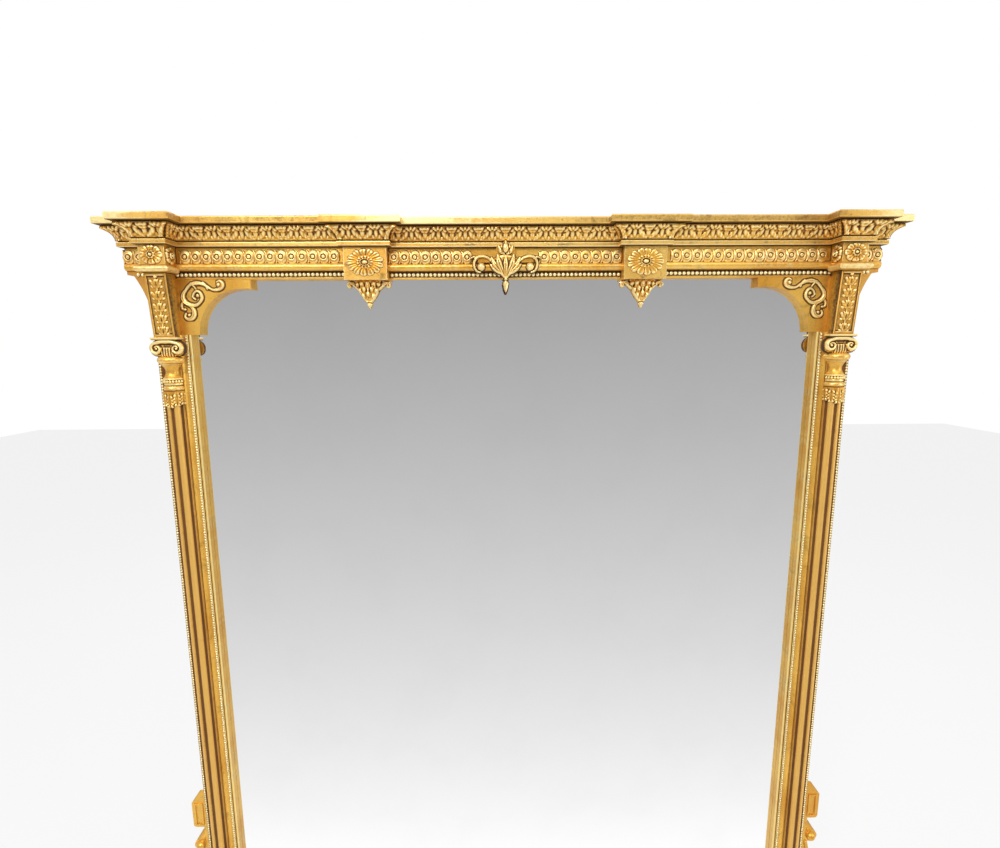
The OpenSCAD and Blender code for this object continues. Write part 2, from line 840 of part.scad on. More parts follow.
module right_plinth() {
    panel_edge = 9;
    panel_sink = 4;
    color(gilt) difference() {
        translate([column_x - plinth_hw, at(-plinth_out), base_h])
            cube([2 * plinth_hw, plinth_out, plinth_h]);
        translate([column_x - plinth_hw + panel_edge, at(-plinth_out) - 1, base_h + panel_edge])
            cube([2 * (plinth_hw - panel_edge), panel_sink + 1, plinth_h - 2 * panel_edge]);
    }
}

module left_plinth() {
    mirror([1, 0, 0]) right_plinth();
}

// Attic base: a large round, a hollow and a small round
module right_column_base() {
    big = column_base_h * 0.2;
    small = column_base_h * 0.15;
    small_x = shaft_r + 3;
    color(gilt) turned() {
        translate([0, plinth_z]) square([ring_r - big, column_base_h * 0.45]);
        translate([ring_r - big, plinth_z + big]) circle(r = big);
        translate([0, plinth_z]) square([small_x, column_base_h]);
        translate([small_x - 1, plinth_z + column_base_h - small - 2]) circle(r = small);
    }
}

module left_column_base() {
    mirror([1, 0, 0]) right_column_base();
}

module right_leaf_cup() {
    low_r = 3.6;
    top_r = 3.4;
    color(gilt) {
        turned() polygon([
            [0, cup_z], [shaft_r + 0.4, cup_z], [cup_r, cup_z + cup_h], [0, cup_z + cup_h]
        ]);
        on_column() for (a = [-60, 0, 60]) rotate([0, 0, a]) {
            capsule([0, -shaft_r + 1, cup_z + low_r + 0.4], [0, -cup_r + 2, cup_z + cup_h - 8], low_r);
            translate([0, -cup_r, cup_z + cup_h - top_r - 0.4]) sphere(r = top_r);
        }
    }
}

module left_leaf_cup() {
    mirror([1, 0, 0]) right_leaf_cup();
}

// Large ring, hollow neck, beaded ring and lower ring in one turning
module right_neck_turning() {
    hollow_a = [neck_top_r, ring_z];
    hollow_b = [neck_low_r, neck_z];
    low_ring_r = (low_ring_h - 4) / 2;
    side_n = 20;
    prism_r = bead_ring_r / cos(180 / side_n);
    color(pale_gilt) {
        turned() {
            translate([0, ring_z]) square([ring_r - ring_h / 2, ring_h]);
            translate([ring_r - ring_h / 2, ring_z + ring_h / 2]) circle(r = ring_h / 2);
            difference() {
                polygon([[0, neck_z], hollow_b, hollow_a, [0, ring_z]]);
                translate(hollow_centre(hollow_b, hollow_a, neck_hollow_r)) circle(r = neck_hollow_r);
            }
            translate([0, low_ring_z]) square([cup_r - low_ring_r, low_ring_h]);
            translate([0, low_ring_z]) square([neck_core_r, ring_z + ring_h / 2 - low_ring_z]);
            translate([cup_r - low_ring_r, low_ring_z + low_ring_r]) circle(r = low_ring_r);
        }
        // Ring with flat sides and a bead on every side
        on_column() {
            translate([0, 0, bead_ring_z]) linear_extrude(height = bead_ring_h) intersection() {
                polygon([
                    for (i = [0:side_n - 1]) let (a = 360 / side_n * (i + 0.5)) prism_r * [cos(a), sin(a)]
                ]);
                translate([-2 * prism_r, -2 * prism_r]) square([4 * prism_r, 2 * prism_r]);
            }
            for (i = [-4:4]) rotate([0, 0, 360 / side_n * i])
                translate([0, -bead_ring_r, bead_ring_z + bead_ring_h / 2]) rotate([90, 0, 0])
                    dome(PI * bead_ring_r / side_n * 0.96);
        }
    }
}

module left_neck_turning() {
    mirror([1, 0, 0]) right_neck_turning();
}

// A flat spiral made of half rings, each one smaller than the last
module spiral(r, band, turns) {
    step = r / (turns + 1.2);
    for (i = [0:turns - 1]) {
        outer = r - i * step;
        shift = (i % 2 == 0 ? 0 : 1) * step;
        translate([shift, 0]) intersection() {
            difference() {
                circle(r = outer);
                circle(r = outer - band);
            }
            translate([-far / 2, i % 2 == 0 ? 0 : -far]) square([far, far]);
        }
    }
}

// Ionic capital: abacus, channel, two volutes and a reeded echinus
module right_capital() {
    volute_z = capital_z + volute_r;
    core_t = volute_out - volute_rise;
    color(pale_gilt) {
        translate([column_x - abacus_hw, at(-volute_out), console_z - abacus_h])
            cube([2 * abacus_hw, volute_out, abacus_h]);
        // Body behind the volutes
        on_face(column_x, 0, 0) linear_extrude(height = core_t) {
            translate([-volute_x, volute_z - volute_band / 3])
                square([2 * volute_x, console_z - abacus_h - volute_z + volute_band / 3]);
            for (s = [-1, 1]) translate([s * volute_x, volute_z]) circle(r = volute_r);
        }
        // Raised spiral band and the channel between the volutes
        on_face(column_x, -core_t, 0) {
            linear_extrude(height = volute_rise) {
                for (s = [0, 1]) mirror([s, 0]) translate([volute_x, volute_z]) mirror([1, 0]) {
                    spiral(volute_r - volute_rim, volute_band, 5);
                    circle(r = volute_eye_r);
                }
                translate([-volute_x, volute_z + volute_r - volute_rim - volute_band * 0.8])
                    square([2 * volute_x, volute_band * 0.6]);
            }
            for (s = [-1, 1]) translate([s * volute_x, volute_z, volute_rise]) dome(volute_eye_r * 0.7);
        }
        // Echinus with its row of reeds, and the disc that it stands on
        on_face(column_x, 0, capital_z) linear_extrude(height = core_t - reed_step / 2)
            translate([-echinus_hw, 0]) square([2 * echinus_hw, echinus_h]);
        on_face(column_x, reed_step / 2 - core_t, capital_z) for (i = [-2:2])
            half_rod([i * reed_step, reed_step * 0.7], [i * reed_step, echinus_h + 3.3], reed_step * 0.47);
    }
}

module left_capital() {
    mirror([1, 0, 0]) right_capital();
}

// Consoles
console_top_out = corner_out - frieze_set - 2;
console_lean = atan((console_top_out - console_foot_out) / console_h);

module right_console() {
    // Panel let into the leaning front face
    panel_w = 2 * (console_hw - console_rim);
    panel_l = console_h / cos(console_lean) - 2 * console_rim;
    color(gilt) difference() {
        translate([column_x - console_hw, 0, 0]) rotate([90, 0, 90]) linear_extrude(height = 2 * console_hw)
            polygon([
                [at(0), console_z], [at(-console_foot_out), console_z],
                [at(-console_top_out), console_top_z], [at(0), console_top_z]
            ]);
        translate([column_x - panel_w / 2, at(-console_foot_out), console_z]) rotate([console_lean, 0, 0])
            translate([0, -5, console_rim]) cube([panel_w, 5 + console_sink, panel_l]);
    }
}

module left_console() {
    mirror([1, 0, 0]) right_console();
}

// A chain of husks laid in the console's panel
module right_console_husks() {
    husk_n = 6;
    room = console_h - 4 * console_rim;
    step = room / husk_n;
    leaf_r = 2.8;
    backing_t = 1.2;
    color(pale_gilt) translate([column_x, at(-console_foot_out), console_z]) rotate([console_lean, 0, 0])
        translate([0, console_sink, 2 * console_rim]) rotate([90, 0, 0]) {
            linear_extrude(height = backing_t) for (i = [0:husk_n - 1])
                translate([0, (i + 0.5) * step]) circle(r = step * 0.56);
            for (i = [0:husk_n - 1]) translate([0, i * step]) {
                for (s = [-1, 1])
                    half_rod(
                        [s * (leaf_r + 1.2), step * 0.22], [s * (console_hw / 2 - 1), step * 0.76], leaf_r
                    );
                translate([0, step * 0.72, 0]) dome(3.6);
            }
        }
}

module left_console_husks() {
    mirror([1, 0, 0]) right_console_husks();
}

// Wings: the entablature's ends and the hollow-edged brackets under them
module right_wing() {
    wing_z = cap_z - wing_h;
    color(matt_gilt) translate([0, back_y, 0]) rotate([90, 0, 0])
        linear_extrude(height = back_y - at(frieze_set)) {
            translate([half_w, cap_z]) square([frieze_hw_over, fillet_z - cap_z]);
            difference() {
                translate([half_w, wing_z]) square([frieze_hw_over, wing_h]);
                translate([half_w + wing_foot_w + wing_r, wing_z]) circle(r = wing_r, $fn = 180);
            }
        }
}

module left_wing() {
    mirror([1, 0, 0]) right_wing();
}

// Corner blocks with their cap moulding
module right_corner_block() {
    color(gilt) {
        translate([corner_span[0], at(corner_set), cap_z + console_cap_h])
            cube([2 * corner_hw, -corner_set, fillet_z - cap_z - console_cap_h]);
        // Filling between the block and the frieze board
        translate([corner_span[0], at(0) - 1, cap_z + console_cap_h])
            cube([inner_x - corner_span[0], frieze_set + 1, fillet_z - cap_z - console_cap_h]);
        translate([corner_span[0] - corner_cap_p, at(corner_set - corner_cap_p), cap_z])
            cube([2 * (corner_hw + corner_cap_p), corner_cap_p - corner_set, console_cap_h]);
    }
}

module left_corner_block() {
    mirror([1, 0, 0]) right_corner_block();
}

rosette_mid_z = (fillet_z + cap_z + console_cap_h) / 2;

// A round flower on the plane z = 0
module round_flower(r, petal_n) {
    share = sin(180 / petal_n);
    tip_r = r * share / (1 + share);
    tip_at = r - tip_r;
    linear_extrude(height = 2) {
        circle(r = tip_at);
        for (i = [0:petal_n - 1]) rotate(360 / petal_n * i) translate([tip_at, 0]) circle(r = tip_r);
    }
    for (i = [0:petal_n - 1]) rotate([0, 0, 360 / petal_n * i]) translate([tip_at, 0, 0]) dome(tip_r * 0.96);
    translate([0, 0, 1]) rotate_extrude() translate([r * 0.38, 0]) intersection() {
        circle(r = 3);
        translate([-3, 0]) square([6, 3]);
    }
    translate([0, 0, 1]) dome(r * 0.2);
}

module corner_rosettes() {
    front_r = (fillet_z - cap_z - console_cap_h) / 2 - 0.8;
    side_r = min(front_r, -corner_set / 2) - 0.8;
    color(pale_gilt) both_sides() {
        on_face(column_x, corner_set, rosette_mid_z) round_flower(front_r, 10);
        translate([corner_span[0], at(corner_set / 2), rosette_mid_z]) rotate([90, 0, -90])
            round_flower(side_r, 8);
    }
}

// Frieze
module frieze_board() {
    color(gilt) {
        both_sides() translate([rosette_span[0], at(frieze_set), frieze_z])
            cube([inner_x - rosette_span[0], rail_set - frieze_set, frieze_h]);
        translate([-rosette_span[0], at(centre_set), frieze_z])
            cube([2 * rosette_span[0], rail_set - centre_set, frieze_h]);
    }
}

module torus_profile() {
    translate([torus_p - torus_h / 2, torus_z + torus_h / 2]) circle(r = torus_h / 2);
    translate([0, torus_z]) square([torus_p - torus_h / 2 + 0.5, torus_h]);
}

module torus_run(x0, x1, depth) {
    in_front_of(depth) translate([0, at(depth), 0]) front_bar(x0, x1) torus_profile();
}

module frieze_torus() {
    color(pale_gilt) {
        both_sides() {
            torus_run(rosette_span[1], corner_span[0] - corner_cap_p, frieze_set);
            torus_run(half_w, end_x, frieze_set);
        }
        torus_run(-rosette_span[0], rosette_span[0], centre_set);
    }
}

// Coin band: overlapping coins with a raised ring and a button, facing -Y
module coin_run(x0, x1, depth) {
    n = floor((x1 - x0 - 2) / coin_pitch);
    start = (x0 + x1 - (n - 1) * coin_pitch) / 2;
    translate([0, at(depth), coin_z]) rotate([90, 0, 0]) {
        linear_extrude(height = coin_t) intersection() {
            union() {
                for (i = [0:n - 1]) translate([start + i * coin_pitch, 0]) circle(r = coin_r);
                translate([x0 + 0.5, -coin_r * 0.6]) square([x1 - x0 - 1, coin_r * 1.2]);
            }
            translate([x0, -coin_r]) square([x1 - x0, 2 * coin_r]);
        }
        for (i = [0:n - 1]) translate([start + i * coin_pitch, 0, coin_t]) {
            rotate_extrude($fn = 32) translate([coin_ring_r, 0]) circle(r = 1.7, $fn = 16);
            sphere(r = coin_button_r, $fn = 24);
        }
    }
}

module coin_band() {
    color(gilt) both_sides() {
        coin_run(rosette_span[1], corner_span[0], frieze_set);
        coin_run(centre_clear, rosette_span[0], centre_set);
        coin_run(half_w, end_x, frieze_set);
    }
}

// Cornice
module fillet_profile() {
    translate([-far, fillet_z]) square([far + fillet_p, fillet_h - 2.5]);
    translate([-far, fillet_z]) square([far + fillet_p - 3, fillet_h]);
}

module cornice_fillet() {
    color(gilt) entablature() fillet_profile();
}

// Hollow cove from the fillet up to the quirk under the fascia
cove_a = [fillet_p - 1.5, cove_z];
cove_b = [cove_top_p, fascia_z - quirk_h];
cove_c = hollow_centre(cove_a, cove_b, cove_r);

module cove_profile() {
    difference() {
        translate([-far, cove_z]) square([far + cove_top_p + 1, cove_h - quirk_h]);
        translate(cove_c) circle(r = cove_r, $fn = 96);
    }
    translate([-far, cove_b[1] - 0.5]) square([far + cove_top_p - quirk_in, quirk_h + 0.5]);
}

module cornice_cove() {
    color(matt_gilt) entablature() cove_profile();
}

module cornice_board() {
    color(pale_gilt) entablature() translate([-far, fascia_z]) square([far + fascia_p, fascia_h]);
}

leaf_h = cove_h - quirk_h - leaf_tip_gap;
leaf_foot_gap = 0.3;
leaf_end_gap = 1;

// The thin skin over the cove in which the leaves lie
module leaf_skin() {
    intersection() {
        difference() {
            translate(cove_c) circle(r = cove_r, $fn = 96);
            translate(cove_c) circle(r = cove_r - leaf_t, $fn = 96);
        }
        translate([cove_a[0] - leaf_t, cove_z + leaf_foot_gap])
            square([cove_b[0] - cove_a[0] + 2 * leaf_t, cove_h - quirk_h - leaf_foot_gap]);
    }
}

// Outline of a leaf seen from the front, standing at x = 0 on the bottom of the cove
module leaf_outline(w) {
    h = leaf_h;
    lobe = w * 0.24;
    translate([0, cove_z + h - lobe]) circle(r = lobe);
    translate([0, cove_z + h * 0.5]) for (s = [-1, 1]) translate([s * w * 0.27, 0]) circle(r = w * 0.2);
    for (s = [-1, 1]) translate([s * w * 0.36, cove_z + h * 0.24]) circle(r = w * 0.14);
    polygon([
        [-w * 0.3, cove_z], [w * 0.3, cove_z], [w * 0.34, cove_z + h * 0.5],
        [lobe * 0.9, cove_z + h * 0.8], [-lobe * 0.9, cove_z + h * 0.8], [-w * 0.34, cove_z + h * 0.5]
    ]);
}

module slim_outline(w) {
    h = leaf_h;
    translate([0, cove_z + h - w * 0.34]) circle(r = w * 0.34);
    polygon([
        [-w * 0.16, cove_z], [w * 0.16, cove_z], [w * 0.3, cove_z + h * 0.75], [-w * 0.3, cove_z + h * 0.75]
    ]);
}

// Leaves between two mitres along a front face, or along an end when laid on its side
module leaf_run(x0, x1) {
    n = max(1, round((x1 - x0) / leaf_pitch));
    step = (x1 - x0) / n;
    intersection() {
        front_bar(x0 + leaf_end_gap, x1 - leaf_end_gap) leaf_skin();
        rotate([90, 0, 0]) linear_extrude(height = overrun) {
            for (i = [0:n - 1]) translate([x0 + (i + 0.5) * step, 0]) leaf_outline(leaf_w);
            if (n > 1) for (i = [1:n - 1]) translate([x0 + i * step, 0]) slim_outline(slim_leaf_w);
        }
    }
}

module cornice_leaves() {
    color(gilt) {
        both_sides() {
            translate([0, at(frieze_set), 0]) {
                leaf_run(rosette_span[1] + fillet_p, corner_span[0] - cove_top_p);
                leaf_run(corner_span[1] + cove_top_p, end_x);
            }
            translate([0, at(corner_set), 0]) leaf_run(corner_span[0], corner_span[1]);
            translate([0, at(rosette_set), 0]) leaf_run(rosette_span[0], rosette_span[1]);
            // Leaves on the inner return of the corner block and on the cornice's outer end
            translate([corner_span[0], 0, 0]) rotate([0, 0, -90])
                leaf_run(-at(frieze_set - cove_top_p), -at(corner_set));
            translate([end_x, 0, 0]) rotate([0, 0, 90]) leaf_run(at(frieze_set), back_y);
        }
        translate([0, at(centre_set), 0]) leaf_run(-rosette_span[0] + cove_top_p, rosette_span[0] - cove_top_p);
    }
}

// Rosette blocks and what hangs from them
module right_rosette_block() {
    color(gilt) {
        translate([rosette_span[0], at(rosette_set), rosette_low_z])
            cube([2 * rosette_hw, frieze_set - rosette_set, fillet_z - rosette_low_z]);
        // The part below the frieze board goes back to the glass
        translate([rosette_span[0], at(rosette_set), rosette_low_z])
            cube([2 * rosette_hw, glass_set - rosette_set, frieze_z - rosette_low_z]);
    }
}

module left_rosette_block() {
    mirror([1, 0, 0]) right_rosette_block();
}

// A flat flower with long petals, a raised rib on every petal and a notched oval button
module oval_flower() {
    plate_t = 2.5;
    petal_w = 12;
    rib_w = 7.2;
    button_r = 6.4;
    button_l = 8;
    tips = [
        for (i = [0:oval_petal_n - 1]) let (a = 360 / oval_petal_n * i) [oval_hw * cos(a), oval_hh * sin(a)]
    ];
    linear_extrude(height = plate_t) for (k = tips) petal_outline(-k * 0.2, k, petal_w);
    translate([0, 0, plate_t / 4]) for (k = tips) petal(k * 0.42, k * 0.97, rib_w);
    translate([0, 0, plate_t * 0.8]) half_rod([-button_l / 2, 0], [button_l / 2, 0], button_r);
}

module oval_rosettes() {
    flower_z = (fillet_z + sight_top_z) / 2;
    color(pale_gilt) both_sides() on_face(rosette_x, rosette_set, flower_z) oval_flower();
}

// Acanthus pendants against the glass: a broad layer, a narrow layer and leaves on them
module pendants() {
    top_z = rosette_low_z;
    waist_z = top_z - pendant_h * 2 / 3;
    low_z = top_z - pendant_h;
    collar_hw = 7;
    bud_r = 9;
    leaf_l = 29;
    leaf_gap = 0.5;
    tip_ball_r = 6;
    inset = 5;
    color(pale_gilt) both_sides() on_face(rosette_x, glass_set, 0) {
        linear_extrude(height = pendant_step) {
            polygon([
                [-pendant_top_hw, top_z], [pendant_top_hw, top_z], [pendant_waist_hw, waist_z],
                [collar_hw, low_z], [-collar_hw, low_z], [-pendant_waist_hw, waist_z]
            ]);
            translate([0, low_z - bud_r + 1]) circle(r = bud_r);
            for (s = [-1, 1])
                petal_outline(
                    [s * pendant_waist_hw, top_z - 20], [s * pendant_tip_x, top_z - 2], 2 * tip_ball_r
                );
        }
        linear_extrude(height = 2 * pendant_step) {
            polygon([
                [inset - pendant_top_hw, top_z], [pendant_top_hw - inset, top_z],
                [collar_hw, top_z - leaf_l - 1], [-collar_hw, top_z - leaf_l - 1]
            ]);
            translate([0, low_z - 4]) circle(r = collar_hw);
        }
        translate([0, 0, 2 * pendant_step - leaf_gap]) for (i = [-1:1])
            petal(
                [i * collar_hw / 2, top_z - leaf_l], [i * (pendant_top_hw - inset) * 2 / 3, top_z - leaf_gap], 9
            );
        translate([0, low_z - 6, pendant_step]) dome(bud_r - 1.5);
        for (s = [-1, 1]) translate([s * (pendant_tip_x - 8), top_z - 9, pendant_step - 2]) dome(tip_ball_r);
    }
}

// Centre ornament
palm_set = centre_set - fillet_p - 0.5;
palm_hw = 27;

// Pad between an ornament of the middle and the frieze board behind it
module pad(x0, x1, z0, z1) {
    translate([x0, z0, palm_set - centre_set]) cube([x1 - x0, z1 - z0, centre_set - palm_set + 1]);
}

module centre_palmette() {
    root = [0, sight_top_z + 2];
    // Each leaf: angle from upright, and length
    leaves = [
        for (s = [-1, 1]) for (k = [[52, -20], [34, -4], [17, 2]]) [s * k[0], palm_leaf_l + k[1]],
        [0, palm_leaf_l]
    ];
    leaf_w = 13;
    rib_w = 8;
    rib_start = 15;
    bud_r = 10;
    root_r = 4.5;
    stem_w = 4;
    drop_r = 6.4;
    drop_gap = 4;
    sunk = 0.5;
    top_z = fillet_z - 2;
    drop_z = sight_top_z - drop_gap - palm_drop_l;
    color(pale_gilt) on_face(0, palm_set, 0) {
        linear_extrude(height = palm_plate_t) {
            for (k = leaves) petal_outline(root, root + k[1] * [sin(k[0]) * 0.85, cos(k[0])], leaf_w);
            translate([0, top_z]) circle(r = bud_r);
            translate([-stem_w / 2, drop_z + 6]) square([stem_w, root[1] - drop_z - 4]);
        }
        translate([0, 0, palm_plate_t - sunk]) {
            for (k = leaves) let (way = [sin(k[0]) * 0.85, cos(k[0])])
                petal(root + rib_start * way, root + (k[1] - 2) * way, rib_w);
            translate([0, top_z, 0]) dome(bud_r - sunk);
            translate([root[0], root[1], 0]) dome(root_r);
            half_turning([0, drop_z], [0, drop_z + palm_drop_l]) polygon([
                [0, 0], [drop_r * 0.62, palm_drop_l * 0.27], [drop_r, palm_drop_l * 0.85],
                [drop_r * 0.62, palm_drop_l], [0, palm_drop_l]
            ]);
        }
        pad(-20, 20, torus_z + torus_h + sunk, fillet_z - sunk);
    }
}

module centre_scrolls() {
    scroll_z = sight_top_z + 26;
    hollow_r = scroll_r - scroll_band;
    band_t = 5;
    web_t = 2;
    color(pale_gilt) both_sides() on_face(scroll_x, palm_set, scroll_z) {
        linear_extrude(height = band_t) {
            difference() {
                circle(r = scroll_r);
                circle(r = hollow_r);
                translate([-far, -far]) square([far, far + band_t - 1]);
            }
            translate([palm_hw - scroll_x, hollow_r]) square([scroll_x - palm_hw, scroll_band]);
        }
        linear_extrude(height = web_t) circle(r = hollow_r + 0.5);
        translate([0, 0, web_t - 0.5]) dome(scroll_ball_r);
        pad(-20, 6, torus_z + torus_h + 0.5 - scroll_z, torus_z + torus_h + 10.5 - scroll_z);
    }
}

// Spandrels
module spandrels() {
    arc_x = inner_x - spandrel_w + spandrel_tab;
    color(gilt) both_sides() translate([0, at(glass_set), 0]) rotate([90, 0, 0])
        linear_extrude(height = glass_set - spandrel_set) difference() {
            translate([inner_x - spandrel_w, spandrel_z]) square([spandrel_w, spandrel_h]);
            translate([arc_x, spandrel_z]) circle(r = spandrel_r, $fn = 120);
            translate([arc_x - far, spandrel_z - far]) square([far, far + spandrel_r]);
        }
}

module ribbon_arc(x, z, r, a0, a1, w) {
    translate([x, z]) difference() {
        intersection() {
            circle(r = r + w / 2);
            polygon([
                [0, 0], far * [cos(a0), sin(a0)], far * [cos((a0 + a1) / 2), sin((a0 + a1) / 2)],
                far * [cos(a1), sin(a1)]
            ]);
        }
        circle(r = r - w / 2);
    }
}

module spandrel_scrolls() {
    // Each arc: place from the relief's middle, radius, first and last angle
    arcs = [
        [0, 0, 17, -150, -20], [0, 0, 17, 20, 150], [0, 0, 17, 140, 215], [-34, 42, 28, 215, 320],
        [6, -32, 14, 60, 130], [2, -36, 14, -90, 60]
    ];
    balls = [[-8, 4], [-58, 24], [14, -41], [18, 10]];
    middle = [inner_x - relief_in, sight_top_z - relief_down];
    color(pale_gilt) both_sides() translate([0, at(spandrel_set), 0]) rotate([90, 0, 0]) {
        linear_extrude(height = relief_t) for (k = arcs)
            ribbon_arc(middle[0] + k[0], middle[1] + k[1], k[2], k[3], k[4], relief_band);
        for (k = balls) translate([middle[0] + k[0], middle[1] + k[1], 0]) dome(relief_ball_r);
    }
}

// Side brackets at the foot of the stiles
bracket_curl_x = bracket_curl_r + 4;

module bracket_outline() {
    body_top = bracket_curl_z;
    head_z = bracket_top - bracket_head_h;
    // Square head with rounded outer corners
    square_r = 8;
    translate([0, head_z + square_r]) square([bracket_head_w, bracket_head_h - 2 * square_r]);
    translate([0, head_z]) square([bracket_head_w - square_r, bracket_head_h]);
    for (z = [head_z + square_r, bracket_top - square_r])
        translate([bracket_head_w - square_r, z]) circle(r = square_r);
    // Narrow neck and the curl under it
    translate([0, body_top]) square([bracket_neck_w, head_z - body_top]);
    translate([bracket_curl_x, body_top]) circle(r = bracket_curl_r);
    // Long swelling leaf down to the foot volute
    leaf_points = [
        for (i = [0:14]) let (t = i / 14)
            [
                14 + (bracket_w - 14) * (0.5 - 0.5 * cos(180 * min(1, t * 1.25))),
                body_top - t * (body_top - 60)
            ]
    ];
    polygon(concat([[0, body_top]], leaf_points, [[bracket_w, base_h], [0, base_h]]));
    translate([bracket_w - bracket_foot_r, base_h + bracket_foot_r]) circle(r = bracket_foot_r);
}

module right_side_bracket() {
    head_z = bracket_top - bracket_head_h;
    rim = 7;
    border = 3;
    frame_t = 2.5;
    color(gilt) {
        translate([half_w, at(bracket_set) + bracket_t, 0]) rotate([90, 0, 0])
            linear_extrude(height = bracket_t) bracket_outline();
        // Raised bead frame on the head
        translate([half_w, at(bracket_set), 0]) rotate([90, 0, 0])
            linear_extrude(height = frame_t) difference() {
            translate([rim, head_z + rim]) square([bracket_head_w - 2 * rim, bracket_head_h - 2 * rim]);
            translate([rim + border, head_z + rim + border])
                square([bracket_head_w - 2 * (rim + border), bracket_head_h - 2 * (rim + border)]);
        }
        // Curl and ribs of the leaf
        on_face(half_w, bracket_set, 0) {
            translate([bracket_curl_x, bracket_curl_z, 0]) dome(bracket_curl_r * 0.7);
            translate([bracket_w - bracket_foot_r, base_h + bracket_foot_r, 0]) dome(bracket_foot_r * 0.63);
            half_rod([10, bracket_curl_z - 20], [32, bracket_curl_z - 120], 5);
            half_rod([34, bracket_curl_z - 140], [38, bracket_curl_z - 240], 5);
        }
    }
}

module left_side_bracket() {
    mirror([1, 0, 0]) right_side_bracket();
}

base_board();
left_stile();
right_stile();
top_rail();
bottom_rail();
mirror_glass();
glass_blocks();
back_boards();
back_board_screws();
hanger_plates();
hanger_screws();
left_sight_moulding();
right_sight_moulding();
top_sight_moulding();
bottom_sight_moulding();
left_inner_beads();
right_inner_beads();
left_outer_beads();
right_outer_beads();
top_beads();
bottom_beads();
left_shaft();
right_shaft();
left_plinth();
right_plinth();
left_column_base();
right_column_base();
left_leaf_cup();
right_leaf_cup();
left_neck_turning();
right_neck_turning();
left_capital();
right_capital();
left_console();
right_console();
left_console_husks();
right_console_husks();
left_wing();
right_wing();
left_corner_block();
right_corner_block();
corner_rosettes();
frieze_board();
frieze_torus();
coin_band();
cornice_fillet();
cornice_cove();
cornice_leaves();
cornice_board();
left_rosette_block();
right_rosette_block();
oval_rosettes();
pendants();
centre_palmette();
centre_scrolls();
spandrels();
spandrel_scrolls();
left_side_bracket();
right_side_bracket();
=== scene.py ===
import json
import math

import bmesh
import bpy
import numpy as np
from bpy.props import FloatProperty, FloatVectorProperty, IntProperty, PointerProperty
from mathutils import Matrix, Vector


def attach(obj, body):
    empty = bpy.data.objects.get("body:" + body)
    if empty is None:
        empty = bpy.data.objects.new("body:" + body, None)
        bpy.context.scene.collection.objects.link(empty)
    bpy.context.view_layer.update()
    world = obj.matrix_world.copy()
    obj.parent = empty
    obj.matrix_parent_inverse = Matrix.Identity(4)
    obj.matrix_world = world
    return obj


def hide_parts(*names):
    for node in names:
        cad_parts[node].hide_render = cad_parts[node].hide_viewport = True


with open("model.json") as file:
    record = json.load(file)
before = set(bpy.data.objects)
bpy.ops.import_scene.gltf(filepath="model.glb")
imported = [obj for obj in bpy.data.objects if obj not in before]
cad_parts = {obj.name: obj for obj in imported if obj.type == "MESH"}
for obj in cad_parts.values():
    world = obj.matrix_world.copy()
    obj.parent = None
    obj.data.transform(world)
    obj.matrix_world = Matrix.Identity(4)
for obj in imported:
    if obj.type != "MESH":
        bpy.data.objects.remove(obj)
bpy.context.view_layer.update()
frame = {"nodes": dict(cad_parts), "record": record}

bl_info = {
    "name": "Overmantel mirror",
    "version": (1, 0, 0),
    "blender": (4, 5, 0),
    "location": "View3D > Sidebar > Mirror",
    "description": "Dresses the overmantel mirror's frame with carved and gilt pieces",
    "category": "Object",
}

# Sizes of the frame in millimetres, as in the part's source
TOP = 1885.0
HALF = 770.0
BACK = 55.0
FACE = 3.0
INNER = 721.0
END = 821.0
FASCIA_Z = 1870.5
COVE_Z = 1840.5
FILLET_Z = 1828.5
SIGHT_TOP = 1762.0
TORUS_Z = 1779.0
TORUS_R = 8.0
COIN_Z = 1808.25
BIG_BEAD_Z = 1771.75
CAP_Z = 1771.5
CAP_H = 15.0
CONSOLE_Z = 1637.5
CAPITAL_Z = 1595.5
RING_Z = 1580.0
NECK_Z = 1547.0
BEAD_RING_Z = 1536.0
LOW_RING_Z = 1520.0
CUP_Z = 1492.0
SHAFT_Z = 168.0
RAIL_TOP = 120.0
SPANDREL_Z = 1643.0
COLUMN_X = 740.0
BEAD_X = 709.0
LOW_BEAD_Z = 132.0
BEAD_R = 3.3655

# Blocks: from x, to x, depth of the front
CORNER = (713.0, 767.0, -33.0)
ROSETTE = (257.5, 350.5, -1.0)
ROSETTE_X = (ROSETTE[0] + ROSETTE[1]) / 2

# How deep a piece's bed lies behind the stiles' front face
FRIEZE_SET = 6.0
CENTRE_SET = 20.0
GLASS_SET = 30.0
PALM_SET = 9.5
BEAD_SET = 9
SPANDREL_SET = 14
SIDE_SLIP_SET = 12
CENTRE_SLIP_SET = 26


def at(depth):
    """Y of a plane that lies this deep behind the stiles' front face."""
    return FACE + depth


class Form:
    """Points in millimetres, faces, and a crest for each point: 1 is proud and painted pale, as rubbed gilding and
    painted highlight; -1 is deep and painted dark, as dirt and painted shade.
    """

    def __init__(self, points, faces, crest=None):
        self.points = np.asarray(points, dtype=float).reshape(-1, 3)
        self.faces = [tuple(int(i) for i in f) for f in faces]
        self.crest = np.zeros(len(self.points)) if crest is None else np.asarray(crest, dtype=float)

    def mirrored(self):
        return Form(self.points * np.array([-1.0, 1.0, 1.0]), [f[::-1] for f in self.faces], self.crest)


def joined(forms):
    faces, base = [], 0
    for form in forms:
        faces.extend(tuple(i + base for i in f) for f in form.faces)
        base += len(form.points)
    return Form(np.vstack([f.points for f in forms]), faces, np.concatenate([f.crest for f in forms]))


def both(form):
    return [form, form.mirrored()]


def softened(form, keep, lift):
    """The form with the contrast of its crest lowered, for carving whose hollows are filled with gilding: weaker
    painted shade in its hollows and weaker painted highlight on its crests.
    """
    form.crest = np.clip(form.crest * keep + lift, -1.0, 1.0)
    return form


